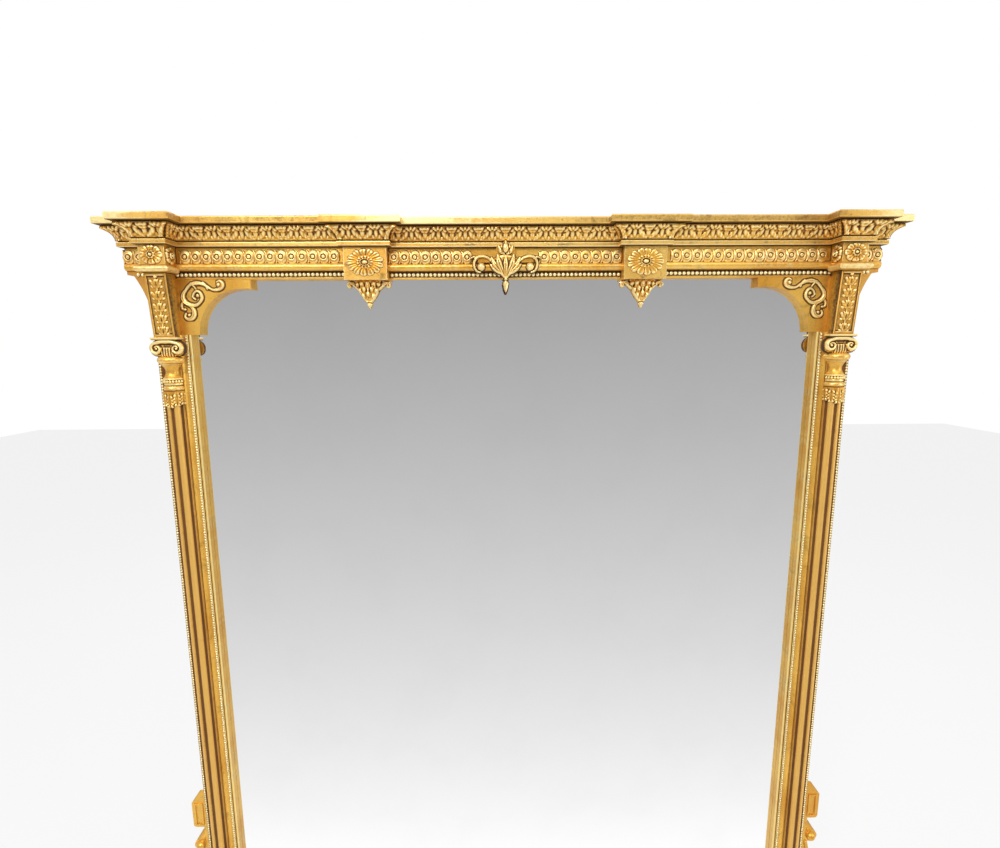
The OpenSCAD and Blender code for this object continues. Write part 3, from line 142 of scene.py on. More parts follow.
def worn(form, *patches):
    """The form with its crest lowered between pairs of x, where the gilding is dull: (x0, x1, how much)."""
    for x0, x1, much in patches:
        x = form.points[:, 0]
        form.crest = np.clip(form.crest - np.where((x > x0) & (x < x1), much, 0.0), -1.0, 1.0)
    return form


def fill_mesh(mesh, form):
    mesh.from_pydata((form.points / 1000.0).tolist(), [], form.faces)
    crest = mesh.attributes.new("crest", "FLOAT", "POINT")
    crest.data.foreach_set("value", form.crest.astype(np.float32))
    mesh.polygons.foreach_set("use_smooth", [True] * len(mesh.polygons))
    mesh.update()


def placed(name, mesh):
    """A new object of the scene, at the origin."""
    obj = bpy.data.objects.new(name, mesh)
    bpy.context.scene.collection.objects.link(obj)
    return obj


def piece(name, forms, finish, nodes=(), sharp=35.0):
    """Makes one finished object from forms and lets it stand for CAD nodes."""
    mesh = bpy.data.meshes.new(name)
    fill_mesh(mesh, joined(forms if isinstance(forms, (list, tuple)) else [forms]))
    if sharp:
        mesh.set_sharp_from_angle(angle=math.radians(sharp))
    mesh.materials.append(bpy.data.materials[finish])
    obj = placed(name, mesh)
    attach(obj, "root")
    if nodes:
        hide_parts(*nodes)


def carved(node, forms):
    """Makes the carved piece that stands for a CAD node."""
    piece(f"{node}_carved", forms, "carved gilding", [node], sharp=60)


def pair(name, form, finish, node, sharp=35.0):
    """The right-hand piece and its mirror image on the left."""
    for side, one in zip(("right", "left"), both(form)):
        piece(f"{side}_{name}", one, finish, [f"{side}_{node}"] if node else [], sharp=sharp)


# Profiles
ROUND_FROM = 25.0  # a corner that turns by fewer degrees stays as it is
ROUND_STEPS = 3
CREST_REACH = 2.2  # how far along a profile its crest looks
CREST_GAIN = 1.3  # height that counts as fully proud, painted palest as rubbed gilding and highlight
COAT = 0.3  # half the thickness of a coat of gilding
HALF_TURN = 28  # steps of half a turning


def arc(cx, cz, r, a0, a1, n, last_r=None):
    """Points on an arc, or on a spiral when its last radius is given too. Angles are in degrees."""
    grow = 0.0 if last_r is None else last_r - r
    turns = [(r + grow * i / n, math.radians(a0 + (a1 - a0) * i / n)) for i in range(n + 1)]
    return [(cx + far * math.cos(a), cz + far * math.sin(a)) for far, a in turns]


def rounded(profile, r):
    """Rounds every sharper corner of an open line of points."""
    out = [profile[0]]
    for a, b, c in zip(profile, profile[1:], profile[2:]):
        a, b, c = (np.array(p, dtype=float) for p in (a, b, c))
        u, v = a - b, c - b
        lu, lv = np.linalg.norm(u), np.linalg.norm(v)
        straight = max(-1.0, min(1.0, float(-(u @ v) / (lu * lv)))) if lu * lv else 1.0
        if math.degrees(math.acos(straight)) < ROUND_FROM:
            out.append(tuple(b))
            continue
        cut = min(r, lu * 0.4, lv * 0.4)
        p, q = b + u / lu * cut, b + v / lv * cut
        for i in range(ROUND_STEPS + 1):
            t = i / ROUND_STEPS
            out.append(tuple((1 - t) ** 2 * p + 2 * t * (1 - t) * b + t * t * q))
    out.append(profile[-1])
    return out


def softened_profile(profile, soften, painted_shade_and_highlight=None, side=-1.0):
    """A profile with its corners rounded, and each point's crest: how proud it is of the chord near it, which paints
    shade in its hollows and highlight on its rounds.
    """
    line = rounded(profile, soften)
    pts = np.array(line, dtype=float)
    s = np.concatenate([[0.0], np.cumsum(np.linalg.norm(np.diff(pts, axis=0), axis=1))])
    crest = np.zeros(len(pts))
    for i in range(len(pts)):
        a, b = (np.array([np.interp(s[i] + way * CREST_REACH, s, pts[:, k]) for k in (0, 1)]) for way in (-1, 1))
        d = b - a
        n = np.array([d[1], -d[0]]) / (np.linalg.norm(d) + 1e-9) * side
        crest[i] = np.clip(((pts[i] - (a + b) / 2) @ n) / CREST_GAIN, -1.0, 1.0)
    # An offset to the crest: painted shade below nought, painted highlight and rubbed wear above it
    if painted_shade_and_highlight:
        crest = np.clip(crest + np.array([painted_shade_and_highlight(*q) for q in line]), -1.0, 1.0)
    return line, crest


def strips(rows, n, flip=False):
    """Faces between rows of n points each."""
    faces = []
    for i in range(rows - 1):
        for k in range(n - 1):
            a, b = i * n + k, (i + 1) * n + k
            faces.append((a, b, b + 1, a + 1) if flip else (a, a + 1, b + 1, b))
    return faces


def ways_along(path):
    path = [np.array(p, dtype=float) for p in path]
    return path, [(b - a) / np.linalg.norm(b - a) for a, b in zip(path, path[1:])]


def mitred(path, line):
    """The points of a profile at every corner of a plan path. The outward side lies to the right of its way."""
    path, ways = ways_along(path)
    rows = []
    for i, p in enumerate(path):
        sides = [np.array([d[1], -d[0]]) for d in ways[max(i - 1, 0):i + 1]]
        out = sum(sides[1:], sides[0])
        if len(sides) == 2:
            out = out / (out @ sides[0])
        rows.append([(p[0] + out[0] * u, p[1] + out[1] * u, z) for u, z in line])
    return rows


def moulding(path, profile, soften=0.8, painted_shade_and_highlight=None):
    """Sweeps a profile of (outward, up) points, listed from the top down, along a plan path, closed all round."""
    line, crest = softened_profile(profile, soften, painted_shade_and_highlight)
    rows = mitred(path, line)
    n = len(line)
    last = (len(rows) - 1) * n
    faces = strips(len(rows), n)
    faces += [tuple(range(0, last + 1, n)), tuple(range(last + n - 1, -1, -n)),
              tuple(reversed(range(n))) + tuple(range(last, last + n))]
    return Form(rows, faces, np.tile(crest, len(rows)))


def lengths(path, profile, soften=0.8, painted_shade_and_highlight=None):
    """Like a moulding, but with a closed profile, and as one closed form for every straight length."""
    line, crest = softened_profile(profile, soften, painted_shade_and_highlight)
    rows = mitred(path, line)
    n = len(line)
    faces = [(k, (k + 1) % n, n + (k + 1) % n, n + k) for k in range(n)]
    faces += [tuple(reversed(range(n))), tuple(range(n, 2 * n))]
    return [Form(a + b, faces, np.tile(crest, 2)) for a, b in zip(rows, rows[1:])]


def stood(form):
    """Turns a moulding that was swept in plan up into the plane of the frame's front."""
    x, y, z = form.points.T
    return Form(np.stack([x, FACE - z, y], axis=1), form.faces, form.crest)


def skin(x0, x1, z0, z1, y, left=-0.9, right=-0.9, low=-0.9, high=-0.9, wide=3.0, mid=0.05):
    """A thin coat of gilding on a flat front, with the crest given along each of its four edges and over its middle:
    a low crest paints shade, a high one a pale edge of highlight and wear.
    """
    xs, zs = (sorted({a, min(a + wide, (a + b) / 2), max(b - wide, (a + b) / 2), b}) for a, b in ((x0, x1), (z0, z1)))
    nx, nz = len(xs), len(zs)
    points = [(x, y + d, z) for d in (-COAT, COAT) for x in xs for z in zs]
    crest = []
    for i in range(nx):
        for k in range(nz):
            edges = ((i == 0, left), (i == nx - 1, right), (k == 0, low), (k == nz - 1, high))
            crest.append(min((mark for hit, mark in edges if hit), default=mid))
    faces, m = [], nx * nz
    for a, b, c, d in strips(nx, nz, flip=True):
        faces += [(a, b, c, d), (m + a, m + d, m + c, m + b)]
    rim = [*range(0, m, nz), *range(m - nz + 1, m), *range(m - nz - 1, 0, -nz), *range(nz - 2, 0, -1)]
    faces += [(b, a, m + a, m + b) for a, b in zip(rim, rim[1:] + rim[:1])]
    return Form(points, faces, crest * 2)


def ball(x, y, z, r):
    """A round bead of the neck's ring, with a painted highlight on its front and painted shade towards its back."""
    n = 10
    points, crest = [(0.0, 0.0, -1.0)], [-0.6]
    for i in range(1, n // 2):
        a = math.pi * i / (n // 2)
        for k in range(n):
            b = 2 * math.pi * k / n
            points.append((math.sin(a) * math.cos(b), math.sin(a) * math.sin(b), -math.cos(a)))
            # Painted highlight on the front, painted shade towards the back
            crest.append(-math.sin(a) * math.sin(b) * 1.4 - 0.2)
    points.append((0.0, 0.0, 1.0))
    crest.append(-0.2)
    faces = [(0, 1 + (k + 1) % n, 1 + k) for k in range(n)]
    for i in range(n // 2 - 2):
        for k in range(n):
            a, b = 1 + i * n + k, 1 + i * n + (k + 1) % n
            faces.append((a, b, b + n, a + n))
    last, top_row = len(points) - 1, 1 + (n // 2 - 2) * n
    faces += [(last, top_row + k, top_row + (k + 1) % n) for k in range(n)]
    return Form(np.array(points) * r + np.array([x, y, z]), faces, np.clip(crest, -1, 1))


def turning(profile, soften=0.8):
    """Half a turning about the column's axis, from a profile of (radius, z) points listed from the bottom up."""
    line, crest = softened_profile(profile, soften, side=1.0)
    n = len(line)
    last = HALF_TURN * n
    angles = [math.pi * (1 + i / HALF_TURN) for i in range(HALF_TURN + 1)]
    points = [(COLUMN_X + r * math.cos(a), FACE + r * math.sin(a), z) for a in angles for r, z in line]
    faces = strips(HALF_TURN + 1, n, flip=True)
    faces += [tuple(range(last, -1, -n)), tuple(range(n - 1, last + n, n)),
              tuple(range(n)) + tuple(reversed(range(last, last + n)))]
    return Form(points, faces, np.tile(crest, HALF_TURN + 1))


def block(x0, x1, y0, y1, z0, z1):
    points = [(x, y, z) for x in (x0, x1) for y in (y0, y1) for z in (z0, z1)]
    faces = [(0, 1, 3, 2), (4, 6, 7, 5), (0, 4, 5, 1), (2, 3, 7, 6), (0, 2, 6, 4), (1, 5, 7, 3)]
    return Form(points, faces)


# Carving: heights over a flat grid, in millimetres
GROUND = -0.7
MARGIN_H = 0.15  # height of the margin round a carving, painted dark as shade
CREST_SPAN = 3.0  # a carving's crest is its height over the mean this near


def mound(u, v, cu, cv, ru, rv, rise, turn=0.0, blunt=0.5):
    """A rounded boss."""
    c, s = math.cos(math.radians(turn)), math.sin(math.radians(turn))
    du, dv = (u - cu) * c + (v - cv) * s, -(u - cu) * s + (v - cv) * c
    q = 1.0 - (du / ru) ** 2 - (dv / rv) ** 2
    return np.where(q > 0, rise * np.maximum(q, 0.0) ** blunt, GROUND)


def mounds(u, v, *rows, **more):
    """Several bosses, each given by its middle, half sizes, rise and turn."""
    return [mound(u, v, *row, **more) for row in rows]


def band(u, v, line, widths, rises, vein=0.0, vein_w=0.2, blunt=0.5):
    """A rounded band along a line of points. Half widths and rises are spread evenly along it."""
    pts = np.array(line, dtype=float)
    seg = np.linalg.norm(np.diff(pts, axis=0), axis=1)
    start = np.concatenate([[0.0], np.cumsum(seg)]) / seg.sum()
    best_q, best_t = np.full(np.shape(u), 1e9), np.zeros(np.shape(u))
    for i in range(len(pts) - 1):
        d = pts[i + 1] - pts[i]
        t = np.clip(((u - pts[i][0]) * d[0] + (v - pts[i][1]) * d[1]) / (d @ d + 1e-9), 0, 1)
        far = np.hypot(u - pts[i][0] - t * d[0], v - pts[i][1] - t * d[1])
        s = start[i] + t * (start[i + 1] - start[i])
        q = far / np.interp(s, np.linspace(0, 1, len(widths)), widths)
        better = q < best_q
        best_q, best_t = np.where(better, q, best_q), np.where(better, s, best_t)
    h = np.interp(best_t, np.linspace(0, 1, len(rises)), rises) * np.maximum(1 - best_q ** 2, 0.0) ** blunt
    if vein:
        h = h - vein * np.exp(-((best_q / vein_w) ** 2)) * (best_q < 1)
    return np.where(best_q < 1, h, GROUND)


def curl(u, v, points, n, widths, rises, **more):
    """A band along a smooth line through a few points."""
    return band(u, v, smooth_line(points, n), widths, rises, **more)


def hollow(h, depth, *gaps):
    """The heights with a soft hollow cut into them, where every gap is a distance over its own width."""
    return np.where(h > 0, h - depth * np.exp(-sum(gap ** 2 for gap in gaps)), h)


def smooth_line(points, n):
    """A smooth line through a few points, n steps between each two."""
    p = np.array(points, dtype=float)
    p = np.vstack([2 * p[0] - p[1], p, 2 * p[-1] - p[-2]])
    out = []
    for i in range(1, len(p) - 2):
        for t in np.linspace(0, 1, n, endpoint=False):
            out.append(0.5 * ((2 * p[i]) + (-p[i - 1] + p[i + 1]) * t
                              + (2 * p[i - 1] - 5 * p[i] + 4 * p[i + 1] - p[i + 2]) * t ** 2
                              + (-p[i - 1] + 3 * p[i] - 3 * p[i + 1] + p[i + 2]) * t ** 3))
    out.append(p[-2])
    return [tuple(q) for q in out]


def blurred(h, cells):
    """The heights averaged over a square of cells round each point."""
    width = 2 * cells + 1
    for _ in range(2):
        sums = np.cumsum(np.insert(np.pad(h, [(cells, cells), (0, 0)], mode="edge"), 0, 0.0, axis=0), axis=0)
        h = ((sums[width:] - sums[:-width]) / width).T
    return h


def carving(heights, u0, u1, v0, v1, step, place, back=1.5, keep_ground=False, halo=0.0, wall=-0.9):
    """A relief: heights(u, v) over a grid, laid on a surface by place(u, v, h), with a back and closed edges.

    Ground that lies under the surface is left out. A halo keeps a thin margin of it round the carving, painted dark
    as shade."""
    su, sv = step if isinstance(step, tuple) else (step, step)
    nu, nv = max(2, int(round((u1 - u0) / su))), max(2, int(round((v1 - v0) / sv)))
    u, v = np.meshgrid(np.linspace(u0, u1, nu + 1), np.linspace(v0, v1, nv + 1), indexing="ij")
    raw = heights(u, v)
    h = 0.55 * raw + 0.45 * blurred(raw, 1)
    # Crest: painted shade in the hollows, on the bare ground and on the walls, painted highlight on what stands proud
    crest = np.clip((h - blurred(h, max(2, int(round(CREST_SPAN / sv))))) / 1.1, -1, 1)
    crest = np.where(raw <= GROUND + 0.01, -0.9, crest)
    up = h > GROUND + 0.05
    if halo:
        near = blurred(up.astype(float), max(1, int(round(halo / sv))))
        margin = (near > 0.02) & (h < MARGIN_H)
        h = np.where(margin, MARGIN_H, h)
        crest = np.where(margin, -np.clip(near * 3.5, 0.0, 0.9), crest)
        up = up | margin
    cell = up[:-1, :-1] | up[1:, :-1] | up[:-1, 1:] | up[1:, 1:] | keep_ground
    need = np.zeros((nu + 1, nv + 1), dtype=bool)
    for corner in (need[:-1, :-1], need[1:, :-1], need[:-1, 1:], need[1:, 1:]):
        corner |= cell
    index, count = np.cumsum(need).reshape(need.shape) - 1, int(need.sum())
    spots = u[need], v[need]
    top, low = place(*spots, h[need]), place(*spots, np.full(count, -back, dtype=float))
    a, b, c, d = index[:-1, :-1], index[1:, :-1], index[1:, 1:], index[:-1, 1:]
    faces = list(zip(*(g[cell] for g in (a, b, c, d)))) + list(zip(*(g[cell] + count for g in (a, d, c, b))))
    pad = np.pad(cell, 1)
    for di, dj, p, q in ((-1, 0, d, a), (1, 0, b, c), (0, -1, a, b), (0, 1, c, d)):
        edge = cell & ~pad[1 + di:1 + di + nu, 1 + dj:1 + dj + nv]
        faces += list(zip(q[edge], p[edge], p[edge] + count, q[edge] + count))
    return Form(np.vstack([top, low]), faces, np.concatenate([crest[need], np.full(count, wall)]))


def on_front(x0, z0, y):
    """Lays a carving on a face that looks to the front: u to the right, v up."""
    return lambda u, v, h: np.stack([x0 + u, np.full_like(u, y) - h, z0 + v], axis=1)


# Materials
class Wiring:
    """Short calls for putting nodes into a tree."""

    def __init__(self, tree):
        self.tree = tree

    def feed(self, sock, value):
        """Links a socket to an input, or gives the input a plain value."""
        if isinstance(value, bpy.types.NodeSocket):
            self.tree.links.new(value, sock)
        else:
            sock.default_value = value

    def add(self, kind, feeds=None, **facts):
        """A new node. Feeds say what its inputs get, by name or number."""
        node = self.tree.nodes.new(kind)
        for key, value in facts.items():
            setattr(node, key, value)
        for key, value in (feeds or {}).items():
            self.feed(node.inputs[key], value)
        return node

    def ports(self, inputs, outputs):
        """Names what a group takes and gives: (name, kind, default), and returns both rows of sockets."""
        for way, ports in (("INPUT", inputs), ("OUTPUT", outputs)):
            for name, kind, *value in ports:
                sock = self.tree.interface.new_socket(name, in_out=way, socket_type="NodeSocket" + kind)
                if value:
                    sock.default_value = value[0]
        return self.add("NodeGroupInput").outputs, self.add("NodeGroupOutput").inputs

    def maths(self, operation, a, b=0.0, clamp=False):
        return self.add("ShaderNodeMath", {0: a, 1: b}, operation=operation, use_clamp=clamp).outputs[0]

    def times(self, a, b):
        return self.maths("MULTIPLY", a, b)

    def plus(self, a, b, clamp=False):
        return self.maths("ADD", a, b, clamp)

    def span(self, value, a, b, c=0.0, d=1.0):
        """The value's way from a to b, smoothed, as a number from c to d."""
        feeds = dict(enumerate((value, a, b, c, d)))
        return self.add("ShaderNodeMapRange", feeds, interpolation_type="SMOOTHSTEP").outputs[0]

    def mix(self, factor, a, b, blend="MIX"):
        return self.add("ShaderNodeMix", {0: factor, 6: a, 7: b}, data_type="RGBA", blend_type=blend).outputs[2]

    def noise(self, vector, scale, detail=4.0, rough=0.6, distort=0.0):
        return self.add("ShaderNodeTexNoise", {"Vector": vector, "Scale": scale, "Detail": detail,
                                               "Roughness": rough, "Distortion": distort}).outputs["Fac"]

    def relief(self, height, strength, distance):
        return self.add("ShaderNodeBump", {"Strength": strength, "Distance": distance,
                                           "Height": height}).outputs["Normal"]

    def blend(self, mask, a, b):
        return self.add("ShaderNodeMixShader", {0: mask, 1: a, 2: b}).outputs[0]


def gilding_group():
    """Water gilding: leaf laid in squares over gesso, rubbed and painted pale as highlight on the crests, and dark in
    the hollows with dirt and painted shade.
    """
    w = Wiring(bpy.data.node_groups.new("Gilding", "ShaderNodeTree"))
    inp, out = w.ports(
        [("Vector", "Vector"), ("Crest", "Float", 0.0), ("Gold", "Color", (0.8, 0.5, 0.1, 1)),
         ("Pale", "Color", (1.0, 0.8, 0.4, 1)), ("Deep", "Color", (0.1, 0.04, 0.01, 1)), ("Tarnish", "Float", 0.4),
         ("Sheen", "Float", 0.3)],
        [("Color", "Color"), ("Roughness", "Float"), ("Metallic", "Float"), ("Height", "Float")])
    vec, gold, deep, tarnish = (inp[name] for name in ("Vector", "Gold", "Deep", "Tarnish"))
    broad = w.noise(vec, 4.0, 3.0)
    patch = w.noise(vec, 26.0, 5.0, 0.62, 0.6)
    fine = w.noise(vec, 170.0)
    grit = w.noise(vec, 700.0, 2.0)
    # Laps of the leaf, about 80 mm apart and hardly seen
    lap = w.add("ShaderNodeTexBrick", {"Vector": vec, "Scale": 1.0, "Mortar Size": 0.0012, "Mortar Smooth": 0.6,
                                       "Brick Width": 0.08, "Row Height": 0.08}, offset=0.5).outputs["Fac"]
    # Where the gilding is rubbed and painted pale as highlight, and where dirt and painted shade darken it
    wobble = w.plus(w.times(w.maths("SUBTRACT", fine, 0.5), 0.7), w.times(w.maths("SUBTRACT", patch, 0.5), 0.5))
    crest = w.plus(inp["Crest"], wobble)
    dirt_and_painted_shade = w.span(crest, -0.06, -0.62)
    rub_and_painted_highlight = w.span(crest, 0.12, 0.60)
    shade = w.mix(1.0, gold, (0.80, 0.66, 0.42, 1), "MULTIPLY")
    tone = w.mix(w.span(broad, 0.38, 0.66), gold, shade)
    tone = w.mix(w.times(w.span(patch, 0.52, 0.74), tarnish), tone, deep)
    tone = w.mix(w.times(w.span(fine, 0.55, 0.74), w.times(tarnish, 0.75)), tone, deep)
    # Painted highlight and rubbed wear: the crests turn pale
    tone = w.mix(w.times(rub_and_painted_highlight, 0.88), tone, inp["Pale"])
    tone = w.mix(w.times(lap, 0.08), tone, deep)
    # Painted shade and dirt: the hollows turn deep brown
    w.feed(out["Color"], w.mix(w.times(dirt_and_painted_shade, 0.95), tone, deep))
    rough = w.plus(inp["Sheen"], w.times(w.span(fine, 0.35, 0.7), 0.14))
    w.feed(out["Roughness"], w.plus(rough, w.times(dirt_and_painted_shade, 0.35), clamp=True))
    w.feed(out["Metallic"], w.maths("SUBTRACT", 0.62, w.times(dirt_and_painted_shade, 0.55), clamp=True))
    w.feed(out["Height"], w.plus(w.plus(w.times(patch, 0.5), w.times(grit, 0.10)), w.times(fine, 0.28)))


def new_finish(name):
    """A new material: its wiring, its shader's inputs, and the place on the object that its patterns read."""
    mat = bpy.data.materials.new(name)
    mat.use_nodes = True
    w = Wiring(mat.node_tree)
    return w, mat.node_tree.nodes["Principled BSDF"].inputs, w.add("ShaderNodeTexCoord").outputs["Object"]


def gilt_finish(name, gold, pale, deep, tarnish, sheen, bump=0.35):
    w, shader, spot = new_finish(name)
    crest = w.add("ShaderNodeAttribute", attribute_name="crest").outputs["Fac"]
    leaf = w.add("ShaderNodeGroup", node_tree=bpy.data.node_groups["Gilding"])
    for key, value in (("Vector", spot), ("Crest", crest), ("Gold", (*gold, 1)), ("Pale", (*pale, 1)),
                       ("Deep", (*deep, 1)), ("Tarnish", tarnish), ("Sheen", sheen)):
        w.feed(leaf.inputs[key], value)
    for key, value in (("Base Color", "Color"), ("Roughness", "Roughness"), ("Metallic", "Metallic")):
        w.feed(shader[key], leaf.outputs[value])
    w.feed(shader["Normal"], w.relief(leaf.outputs["Height"], bump, 0.0012))


def wood_finish(name, light, dark):
    w, shader, spot = new_finish(name)
    stretched = w.add("ShaderNodeMapping", {"Vector": spot, "Scale": (60.0, 60.0, 3.0)}).outputs[0]
    grain = w.noise(stretched, 1.6, 6.0, 0.6, 1.2)
    tone = w.mix(w.span(grain, 0.35, 0.68), (*dark, 1), (*light, 1))
    stain = w.times(w.span(w.noise(spot, 4.0), 0.5, 0.75), 0.5)
    w.feed(shader["Base Color"], w.mix(stain, tone, (*dark, 1)))
    w.feed(shader["Roughness"], w.span(grain, 0.3, 0.7, 0.75, 0.55))
    w.feed(shader["Normal"], w.relief(grain, 0.3, 0.0006))


def metal_finish(name, tone, dull, rough, rougher, scale, detail, tone_span, rough_span):
    """Bare metal, or the silver behind the glass, with stains of a second colour and roughness."""
    w, shader, spot = new_finish(name)
    stain = w.noise(spot, scale, detail)
    w.feed(shader["Base Color"], w.mix(w.span(stain, *tone_span), (*tone, 1), (*dull, 1)))
    w.feed(shader["Roughness"], w.span(stain, *rough_span, rough, rougher))
    shader["Metallic"].default_value = 1.0


# Property groups
class FrameSizes(bpy.types.PropertyGroup):
    """Sizes that a restorer would change."""
    bead_pitch: FloatProperty(name="Small bead pitch", description="Distance between the small beads",
                              default=0.00635, min=0.004, unit="LENGTH", subtype="DISTANCE")
    big_bead_pitch: FloatProperty(name="Large bead pitch", description="Distance between the large beads",
                                  default=0.0095, min=0.006, unit="LENGTH", subtype="DISTANCE")
    coin_pitch: FloatProperty(name="Coin pitch", description="Distance between the coins of the frieze band",
                              default=0.0229, min=0.015, unit="LENGTH", subtype="DISTANCE")
    leaf_pitch: FloatProperty(name="Leaf pitch", description="Distance between the broad leaves of the cornice",
                              default=0.058, min=0.03, unit="LENGTH", subtype="DISTANCE")
    bead_faces: IntProperty(name="Bead segments", description="Segments round each small bead",
                            default=10, min=6, max=32)


class GiltColours(bpy.types.PropertyGroup):
    """Colours of the gilding."""
    gold: FloatVectorProperty(name="Gold", description="Body colour of the gilding", subtype="COLOR",
                              size=3, default=(0.88, 0.52, 0.095), min=0, max=1)
    # The pale gold paints highlight on the crests as well as their rubbed wear
    pale: FloatVectorProperty(name="Pale gold", description="Colour of the rubbed crests", subtype="COLOR",
                              size=3, default=(1.0, 0.82, 0.36), min=0, max=1)
    # The deep brown paints shade in the hollows as well as old dirt
    deep: FloatVectorProperty(name="Deep brown", description="Colour of old dirt in the hollows", subtype="COLOR",
                              size=3, default=(0.040, 0.011, 0.0008), min=0, max=1)
    matt: FloatVectorProperty(name="Matt gold", description="Colour of the matt oil gilding", subtype="COLOR",
                              size=3, default=(0.69, 0.38, 0.08), min=0, max=1)


def sizes():
    return bpy.context.scene.mirror_sizes


def make_finishes():
    c = bpy.context.scene.mirror_colours
    gilding_group()
    gold, pale, deep, matt = tuple(c.gold), tuple(c.pale), tuple(c.deep), tuple(c.matt)
    gilt_finish("burnished gilding", gold, pale, deep, 0.42, 0.30)
    gilt_finish("carved gilding", (0.80, 0.43, 0.062), (1.0, 0.82, 0.38), deep, 0.30, 0.30)
    gilt_finish("bead gilding", (0.84, 0.54, 0.15), (1.0, 0.88, 0.50), deep, 0.10, 0.24, 0.15)
    gilt_finish("matt gilding", matt, (0.84, 0.50, 0.12), (0.13, 0.042, 0.004), 0.45, 0.42)
    gilt_finish("fascia gilding", (0.88, 0.56, 0.14), (1.0, 0.82, 0.39), (0.17, 0.08, 0.010), 0.85, 0.34)
    wood_finish("bare pine", (0.50, 0.33, 0.17), (0.28, 0.15, 0.06))
    wood_finish("old pine", (0.27, 0.17, 0.09), (0.13, 0.07, 0.035))
    dull = (0.35, 0.55, 90.0, 5.0, (0.4, 0.7), (0.3, 0.7))
    metal_finish("dull steel", (0.30, 0.30, 0.31), (0.12, 0.10, 0.09), *dull)
    metal_finish("dull brass", (0.50, 0.34, 0.12), (0.22, 0.14, 0.05), *dull)
    metal_finish("silvered glass", (0.865, 0.865, 0.865), (0.85, 0.85, 0.85), 0.012, 0.03, 6.0, 4.0,
                 (0.4, 0.7), (0.35, 0.75))


# Rows made by geometry nodes
def row_tree():
    """Repeats a unit along a straight line."""
    tree = bpy.data.node_groups.new("Row of units", "GeometryNodeTree")
    w = Wiring(tree)
    inp, out = w.ports([("Geometry", "Geometry"), ("Unit", "Object"), ("Start", "Vector"), ("Pitch", "Vector"),
                        ("Count", "Int", 1), ("Turn", "Vector"), ("Finish", "Material")], [("Geometry", "Geometry")])
    line = w.add("GeometryNodeMeshLine", {"Count": inp["Count"], "Start Location": inp["Start"],
                                          "Offset": inp["Pitch"]}, mode="OFFSET")
    unit = w.add("GeometryNodeObjectInfo", {"Object": inp["Unit"]}, transform_space="ORIGINAL")
    turn = w.add("FunctionNodeEulerToRotation", {0: inp["Turn"]})
    lay = w.add("GeometryNodeInstanceOnPoints", {"Points": line.outputs["Mesh"], "Instance": unit.outputs["Geometry"],
                                                 "Rotation": turn.outputs[0]})
    real = w.add("GeometryNodeRealizeInstances", {"Geometry": lay.outputs["Instances"]})
    finish = w.add("GeometryNodeSetMaterial", {"Geometry": real.outputs["Geometry"], "Material": inp["Finish"]})
    w.feed(out["Geometry"], finish.outputs["Geometry"])
    return tree


def unit_object(form):
    mesh = bpy.data.meshes.new("unit")
    fill_mesh(mesh, form)
    return placed("unit", mesh)


def drop(obj):
    mesh = obj.data
    bpy.data.objects.remove(obj)
    bpy.data.meshes.remove(mesh)


def row(unit, start, pitch, count, finish, turn=(0.0, 0.0, 0.0)):
    """One straight row of a unit, as a form. Start and pitch are in millimetres."""
    tree = bpy.data.node_groups.get("Row of units") or row_tree()
    obj = placed("row", bpy.data.meshes.new("row"))
    mod = obj.modifiers.new("row", "NODES")
    mod.node_group = tree
    values = {"Unit": unit, "Start": [c / 1000 for c in start], "Pitch": [c / 1000 for c in pitch],
              "Count": int(count), "Turn": list(turn), "Finish": bpy.data.materials[finish]}
    for item in tree.interface.items_tree:
        if item.item_type == "SOCKET" and item.in_out == "INPUT" and item.name in values:
            mod[item.identifier] = values[item.name]
    obj.update_tag()
    bpy.context.view_layer.update()
    made = bpy.data.meshes.new_from_object(obj.evaluated_get(bpy.context.evaluated_depsgraph_get()))
    obj.modifiers.clear()
    if not len(made.vertices):
        raise RuntimeError("a row of units came out empty")
    points = np.empty(len(made.vertices) * 3)
    made.vertices.foreach_get("co", points)
    crest = np.zeros(len(made.vertices), dtype=np.float32)
    made.attributes["crest"].data.foreach_get("value", crest)
    form = Form(points.reshape(-1, 3) * 1000.0, [tuple(p.vertices) for p in made.polygons], crest)
    drop(obj)
    bpy.data.meshes.remove(made)
    return form


def bead_form(r, steps):
    """Half a bead that faces the front, with a ring of painted shade where it meets its bed and a painted highlight
    on its front.
    """
    points, crest = [], []
    for i in range(steps + 1):
        polar = math.pi * i / steps
        for k in range(steps + 1):
            a = math.pi * (1 + k / steps)
            girth = r * math.sin(polar)
            points.append((girth * math.cos(a), girth * math.sin(a), -r * math.cos(polar)))
            # Painted highlight on the front, painted shade round the foot
            lift = math.sin(polar) * -math.sin(a)
            crest.append(-0.9 if lift < 0.2 else min(1.0, (lift - 0.2) * 1.5))
    n = steps + 1
    faces = strips(n, n)
    # The faces at either pole are triangles
    faces[:steps] = [(a, c, d) for a, b, c, d in faces[:steps]]
    faces[-steps:] = [(a, b, d) for a, b, c, d in faces[-steps:]]
    faces.append(tuple(range(0, n * n, n)) + tuple(range(n * n - 1 - n, steps, -n)))
    merged = bmesh.new()
    layer = merged.verts.layers.float.new("crest")
    verts = [merged.verts.new(p) for p in points]
    for f in faces:
        merged.faces.new([verts[i] for i in f])
    for v, c in zip(verts, crest):
        v[layer] = c
    bmesh.ops.remove_doubles(merged, verts=merged.verts, dist=1e-4)
    bmesh.ops.recalc_face_normals(merged, faces=merged.faces)
    merged.verts.index_update()
    out = Form([tuple(v.co) for v in merged.verts], [[v.index for v in f.verts] for f in merged.faces],
               [v[layer] for v in merged.verts])
    merged.free()
    return out


